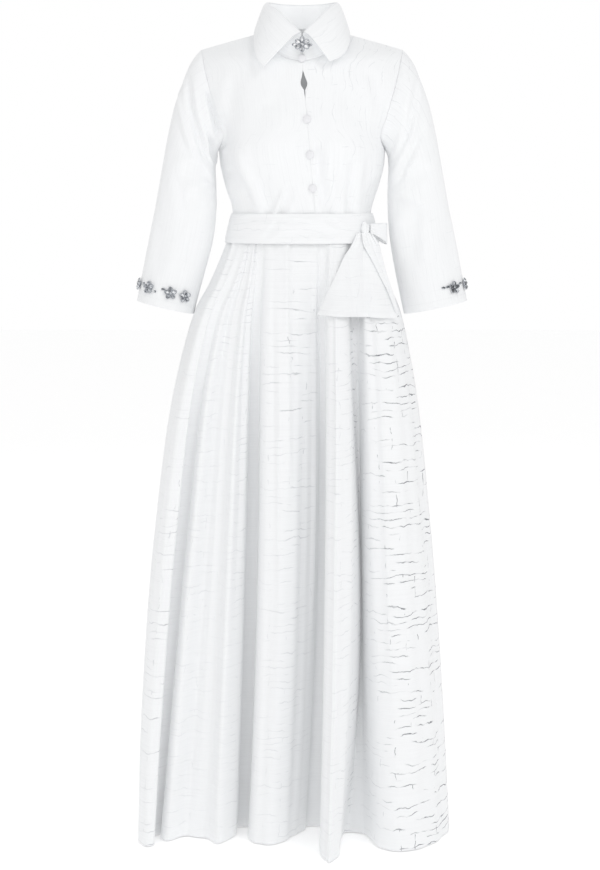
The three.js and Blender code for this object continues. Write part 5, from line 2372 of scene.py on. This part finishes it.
@dataclass
class Jewels:
    """A flower brooch between the collar points, and a jewelled band round each cuff."""

    sleeves: Sleeves
    collar: Collar
    pale: Material
    clear: Material
    smoke: Material
    silver: Material
    brooch_z: float = -28
    brooch_stand_off: float = 12
    cuff_at: float = 0.94
    # The rows of the armhole that the flowers lie under, those past 1 counted on down the back.
    rows: dict[Side, tuple[float, ...]] = field(
        default_factory=lambda: {
            Side.RIGHT: (0.61, 0.7, 0.84, 0.96), Side.LEFT: (0.84, 0.96, 1.08, 1.25)
        }
    )
    loose: dict[Side, tuple[float, ...]] = field(
        default_factory=lambda: {Side.RIGHT: (), Side.LEFT: (0.775, 0.8)}
    )

    def brooch(self) -> list[Object]:
        """Makes the brooch: a large flower on a stem, with two leaves and beads beside it.

        Returns:
            Its stones and its settings.
        """
        jeweller = Jeweller(random.Random(4))
        out = Vector((0.0, -1.0, 0.0))
        foot = self.collar.band_front(self.brooch_z)
        stem = outward_frame((foot + out * 2 * SEAM_GAP) * MM, out)
        jeweller.plate(stem, 4.0, self.brooch_stand_off - 2 * SEAM_GAP)
        place = outward_frame((foot + out * self.brooch_stand_off) * MM, out)
        jeweller.flower(place, 6, 8.2, 5.2, 5.0)
        for side in Side:
            turn = Matrix.Rotation(side.value * math.radians(8), 4, "Z")
            leaf = place @ Matrix.Translation(Vector((side.value * 13.6, -1.0, 2.0)) * MM) @ turn
            jeweller.claws(leaf, 9.6, 6.4, 4, 1.6)
            jeweller.stone(Cut.LEAF, leaf, 8.8, 5.8, 2.8)
        return jeweller.finish("brooch", self.pale, self.silver, ["brooch"])

    def turn(self, row: float) -> float:
        """How far round the sleeve a row of the armhole is."""
        return 1 - 0.5 * (1 - row) / (1 - self.sleeves.bodice.underarm_at)

    def cuff(self, side: Side) -> list[Object]:
        """Makes the band round one cuff: four flowers, with leaf and round stones between.

        Args:
            side: Which cuff.

        Returns:
            Its stones and its settings.
        """
        jeweller = Jeweller(random.Random(11 + side.value))
        sleeves = self.sleeves
        turns = [self.turn(v) for v in self.rows[side]]
        for number, row in enumerate(self.loose[side]):
            self.small_stone(jeweller, side, self.turn(row), 2 * number)
        for turn in turns:
            out = sleeves.out(side, turn, self.cuff_at)
            place = sleeves.point(side, turn, self.cuff_at) + out * 2 * SEAM_GAP
            jeweller.flower(outward_frame(place * MM, out), 5, 6.4, 4.8, 3.6)
        for first, last in zip(turns, turns[1:]):
            gap = (sleeves.point(side, last, self.cuff_at) - sleeves.point(side, first, self.cuff_at)).length
            count = max(round((gap - 26) / 7.5), 0)
            for i in range(count):
                turn = mix(first, last, (i + 1) / (count + 1))
                self.small_stone(jeweller, side, turn, i)
        glass = self.clear if side is Side.RIGHT else self.smoke
        nodes = [f"cuff_flower_{side.word}_{i}" for i in range(1, 5)]
        return jeweller.finish(f"cuff_band_{side.word}", glass, self.silver, nodes)

    def small_stone(self, jeweller: Jeweller, side: Side, turn: float, number: int) -> None:
        """Adds one of the small stones of a cuff, a leaf and a round one by turns.

        Args:
            jeweller: The cuff's jeweller.
            side: Which cuff.
            turn: The share of the way round.
            number: The stone's number, which is odd for a round one.
        """
        at = self.cuff_at + (0.008 if number % 2 else -0.008)
        out = self.sleeves.out(side, turn, at)
        point = self.sleeves.point(side, turn, at) + out * 1.2
        place = outward_frame(point * MM, out, spin=jeweller.dice.uniform(-0.7, 0.7))
        if number % 2:
            jeweller.claws(place, 4.6, 4.6, 4, 1.3)
            jeweller.stone(Cut.ROUND, place, 4.2, 4.2, 2.0)
        else:
            jeweller.claws(place, 7.6, 4.4, 4, 1.3)
            jeweller.stone(Cut.LEAF, place, 7.0, 4.0, 2.0)

    def build(self) -> list[Object]:
        """Makes the brooch and both cuffs."""
        return [*self.brooch(), *self.cuff(Side.RIGHT), *self.cuff(Side.LEFT)]


@dataclass
class Stitching:
    """Top stitching along the edges of collar, neck band and cuffs."""

    thread: Material
    length: float = 2.4
    gap: float = 1.1
    thickness: float = 0.42
    inset: float = 0.016  # how far in from the leaf's ends its rows run, as a share of the way round
    leaf_from: float = 0.085  # the row along the leaf's free edge, as a share of the way over it
    leaf_to: float = 0.72  # where the rows up its ends stop
    band_at: float = 0.06  # the row above the foot of the neck band
    cuff_at: float = 0.972  # the row above the hem of the cuff, as a share of the way down

    def run(self, bm: bmesh.types.BMesh, line: list[Vector], outs: list[Vector]) -> None:
        """Adds a row of stitches along a line of points, each lying on the cloth.

        Args:
            bm: The mesh of stitches.
            line: The points.
            outs: The way out from the cloth at each point.
        """
        pitch = self.length + self.gap
        travelled, due = 0.0, pitch / 2
        for a, b, out in zip(line, line[1:], outs):
            step = (b - a).length
            while due <= travelled + step and step > 0:
                middle = a.lerp(b, (due - travelled) / step) + out * self.thickness * 0.25
                along = (b - a).normalized()
                aside = out.cross(along).normalized()
                turn = Matrix((along, aside, out)).transposed().to_4x4()
                shape = Matrix.Diagonal((self.length / 2, self.thickness / 2, self.thickness / 2, 1.0))
                matrix = Matrix.Translation(middle * MM) @ turn @ shape @ Matrix.Scale(MM, 4)
                bmesh.ops.create_uvsphere(bm, u_segments=6, v_segments=5, radius=1.0, matrix=matrix)
                due += pitch
            travelled += step

    def collar_rows(self, bm: bmesh.types.BMesh, collar: Collar) -> None:
        """Stitches round the leaf's free edge, up both of its ends and along the foot of the band.

        Args:
            bm: The mesh of stitches.
            collar: The collar.
        """
        steps, end_steps = 260, 40
        shares = [i / steps for i in range(steps + 1)]
        ends = (self.inset, 1 - self.inset)
        rows = [(collar.leaf_point, [(mix(*ends, s), self.leaf_from) for s in shares])]
        for end in ends:
            ups = [mix(self.leaf_from, self.leaf_to, i / end_steps) for i in range(end_steps + 1)]
            rows.append((collar.leaf_point, [(end, up) for up in ups]))
        rows.append((collar.band_point, [(s, self.band_at) for s in shares]))
        for surface, places in rows:
            self.run(bm, [surface(*p) for p in places], self.outs(surface, places))

    def outs(
        self, surface: Callable[[float, float], Vector], places: list[tuple[float, float]]
    ) -> list[Vector]:
        """The way out from a surface at each place, from its points nearby.

        Args:
            surface: Gives the point at two shares.
            places: The pairs of shares.

        Returns:
            A direction of length 1 at each place.
        """
        step = 0.004
        outs = []
        for a, b in places:
            across = surface(min(a + step, 1.0), b) - surface(max(a - step, 0.0), b)
            up = surface(a, min(b + step, 1.0)) - surface(a, max(b - step, 0.0))
            outs.append(across.cross(up).normalized())
        return outs

    def cuff_rows(self, bm: bmesh.types.BMesh, sleeves: Sleeves) -> None:
        """Stitches the turned hem of each cuff.

        Args:
            bm: The mesh of stitches.
            sleeves: Both sleeves.
        """
        for side in Side:
            turns = [i / 160 for i in range(161)]
            line = [sleeves.point(side, turn, self.cuff_at) for turn in turns]
            self.run(bm, line, [sleeves.out(side, turn, self.cuff_at) for turn in turns])

    def build(self, collar: Collar, sleeves: Sleeves) -> list[Object]:
        """Makes all the stitches as one mesh.

        Args:
            collar: The collar.
            sleeves: Both sleeves.

        Returns:
            The one piece, in a list.
        """
        bm = bmesh.new()
        self.collar_rows(bm, collar)
        self.cuff_rows(bm, sleeves)
        return [publish("edge_stitching", bm, self.thread, Slot.CLOTH)]


# Studio


@dataclass
class Studio:
    """A white floor, soft light from the upper right and a long lens from chest height."""

    floor_z: float = -1488.5
    floor_size: float = 24.0
    camera_x: float = -3.8
    camera_z: float = -292.6
    distance: float = 3380.0
    tilt: float = 3.08  # degrees down
    shift: float = -0.17  # of the picture's long side
    lens: float = 74.4
    sky: str = "#ffffff"
    sky_strength: float = 0.74

    def build(self) -> None:
        """Makes the floor, the lights, the sky and the camera."""
        self.floor()
        self.light("key", (1.9, -2.8, 2.1), (0.0, 0.0, -0.4), 1.0, 20.0)
        self.light("front", (-0.8, -3.5, 1.5), (0.0, 0.0, -0.3), 2.4, 14.0)
        self.light("rim", (-0.4, 2.8, 1.8), (0.0, 0.0, -0.4), 2.4, 9.0)
        world = bpy.data.worlds.new("studio")
        world.use_nodes = True
        tree = world.node_tree
        sky = tree.nodes["Background"]
        sky.inputs["Color"].default_value = to_linear(self.sky)
        seen = add_node(tree, "ShaderNodeLightPath").outputs["Is Camera Ray"]
        strength = add_node(tree, "ShaderNodeMapRange", inputs={0: seen, 3: self.sky_strength, 4: 1.0})
        tree.links.new(strength.outputs[0], sky.inputs["Strength"])
        bpy.context.scene.world = world
        bpy.context.scene.view_settings.view_transform = "Standard"
        self.camera()

    def floor(self) -> None:
        """Makes the floor."""
        bm = bmesh.new()
        bmesh.ops.create_grid(bm, x_segments=8, y_segments=8, size=self.floor_size / 2)
        bmesh.ops.translate(bm, vec=(0, 0, self.floor_z * MM), verts=bm.verts)
        mesh = bpy.data.meshes.new("studio_floor")
        bm.to_mesh(mesh)
        bm.free()
        mesh.materials.append(StudioFloor().material())
        floor = bpy.data.objects.new("studio_floor", mesh)
        bpy.context.scene.collection.objects.link(floor)
        floor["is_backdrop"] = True

    def light(
        self,
        name: str,
        place: tuple[float, float, float],
        target: tuple[float, float, float],
        size: float,
        power: float,
    ) -> None:
        """Adds a square area light that looks at a target.

        Args:
            name: The lamp's name.
            place: Where it stands, in metres.
            target: What it looks at, in metres.
            size: Its side, in metres.
            power: Its power, in watts.
        """
        lamp = bpy.data.lights.new(name, "AREA")
        lamp.size = size
        lamp.energy = power
        holder = bpy.data.objects.new(name, lamp)
        holder.location = place
        holder.rotation_euler = (Vector(target) - Vector(place)).to_track_quat("-Z", "Y").to_euler()
        bpy.context.scene.collection.objects.link(holder)

    def camera(self) -> None:
        """Adds the camera and makes it the scene's own."""
        data = bpy.data.cameras.new("camera")
        data.lens = self.lens
        data.shift_y = self.shift
        camera = bpy.data.objects.new("camera", data)
        camera.location = Vector((self.camera_x, -self.distance, self.camera_z)) * MM
        camera.rotation_euler = (math.radians(90 - self.tilt), 0.0, 0.0)
        bpy.context.scene.collection.objects.link(camera)
        bpy.context.scene.camera = camera


def main() -> None:
    """Builds the studio and the gown, piece by piece, and measures both boxes."""
    logging.basicConfig(level=logging.INFO, format="%(name)s: %(message)s")
    Studio().build()
    jacquard = CrackleJacquard()
    wrong_side = jacquard.wrong_side("white_jacquard_wrong_side", jacquard.seep)
    facing = jacquard.wrong_side("white_collar_facing", jacquard.collar_seep)
    weaver = Weaver(jacquard.material(), wrong_side, facing)
    bodice = Bodice(weaver)
    sleeves = Sleeves(weaver, bodice)
    collar = Collar(weaver, bodice)
    skirt = Skirt(weaver)
    sash = Sash(weaver, skirt)
    buttons = Buttons(bodice, collar, CoveringSatin().material())
    # Each glass's three greys, from dark to bright, are the painted reflections that its facets pick from,
    # tinted by the glass's own colour.
    clear = CutGlass("clear_cut_glass", "#3a3d44", "#aeb2b8", "#f4f6f8")
    smoke = CutGlass("smoke_cut_glass", "#15171b", "#5c6067", "#dfe2e6")
    pale = CutGlass("pale_cut_glass", "#5b5e64", "#dfe1e4", "#fbfbfc")
    glass = (stone.material() for stone in (pale, clear, smoke))
    jewels = Jewels(sleeves, collar, *glass, SettingSilver().material())
    for part in (bodice, sleeves, collar, skirt, sash, buttons, jewels):
        log.info("%s: %d pieces", type(part).__name__, len(part.build()))
    Stitching(SewingThread().material()).build(collar, sleeves)
    boxes = {"cad": CAD_BOX, "visual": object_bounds()}
    {name: [list(low), list(high)] for name, (low, high) in boxes.items()}


if __name__ == "__main__":
    main()
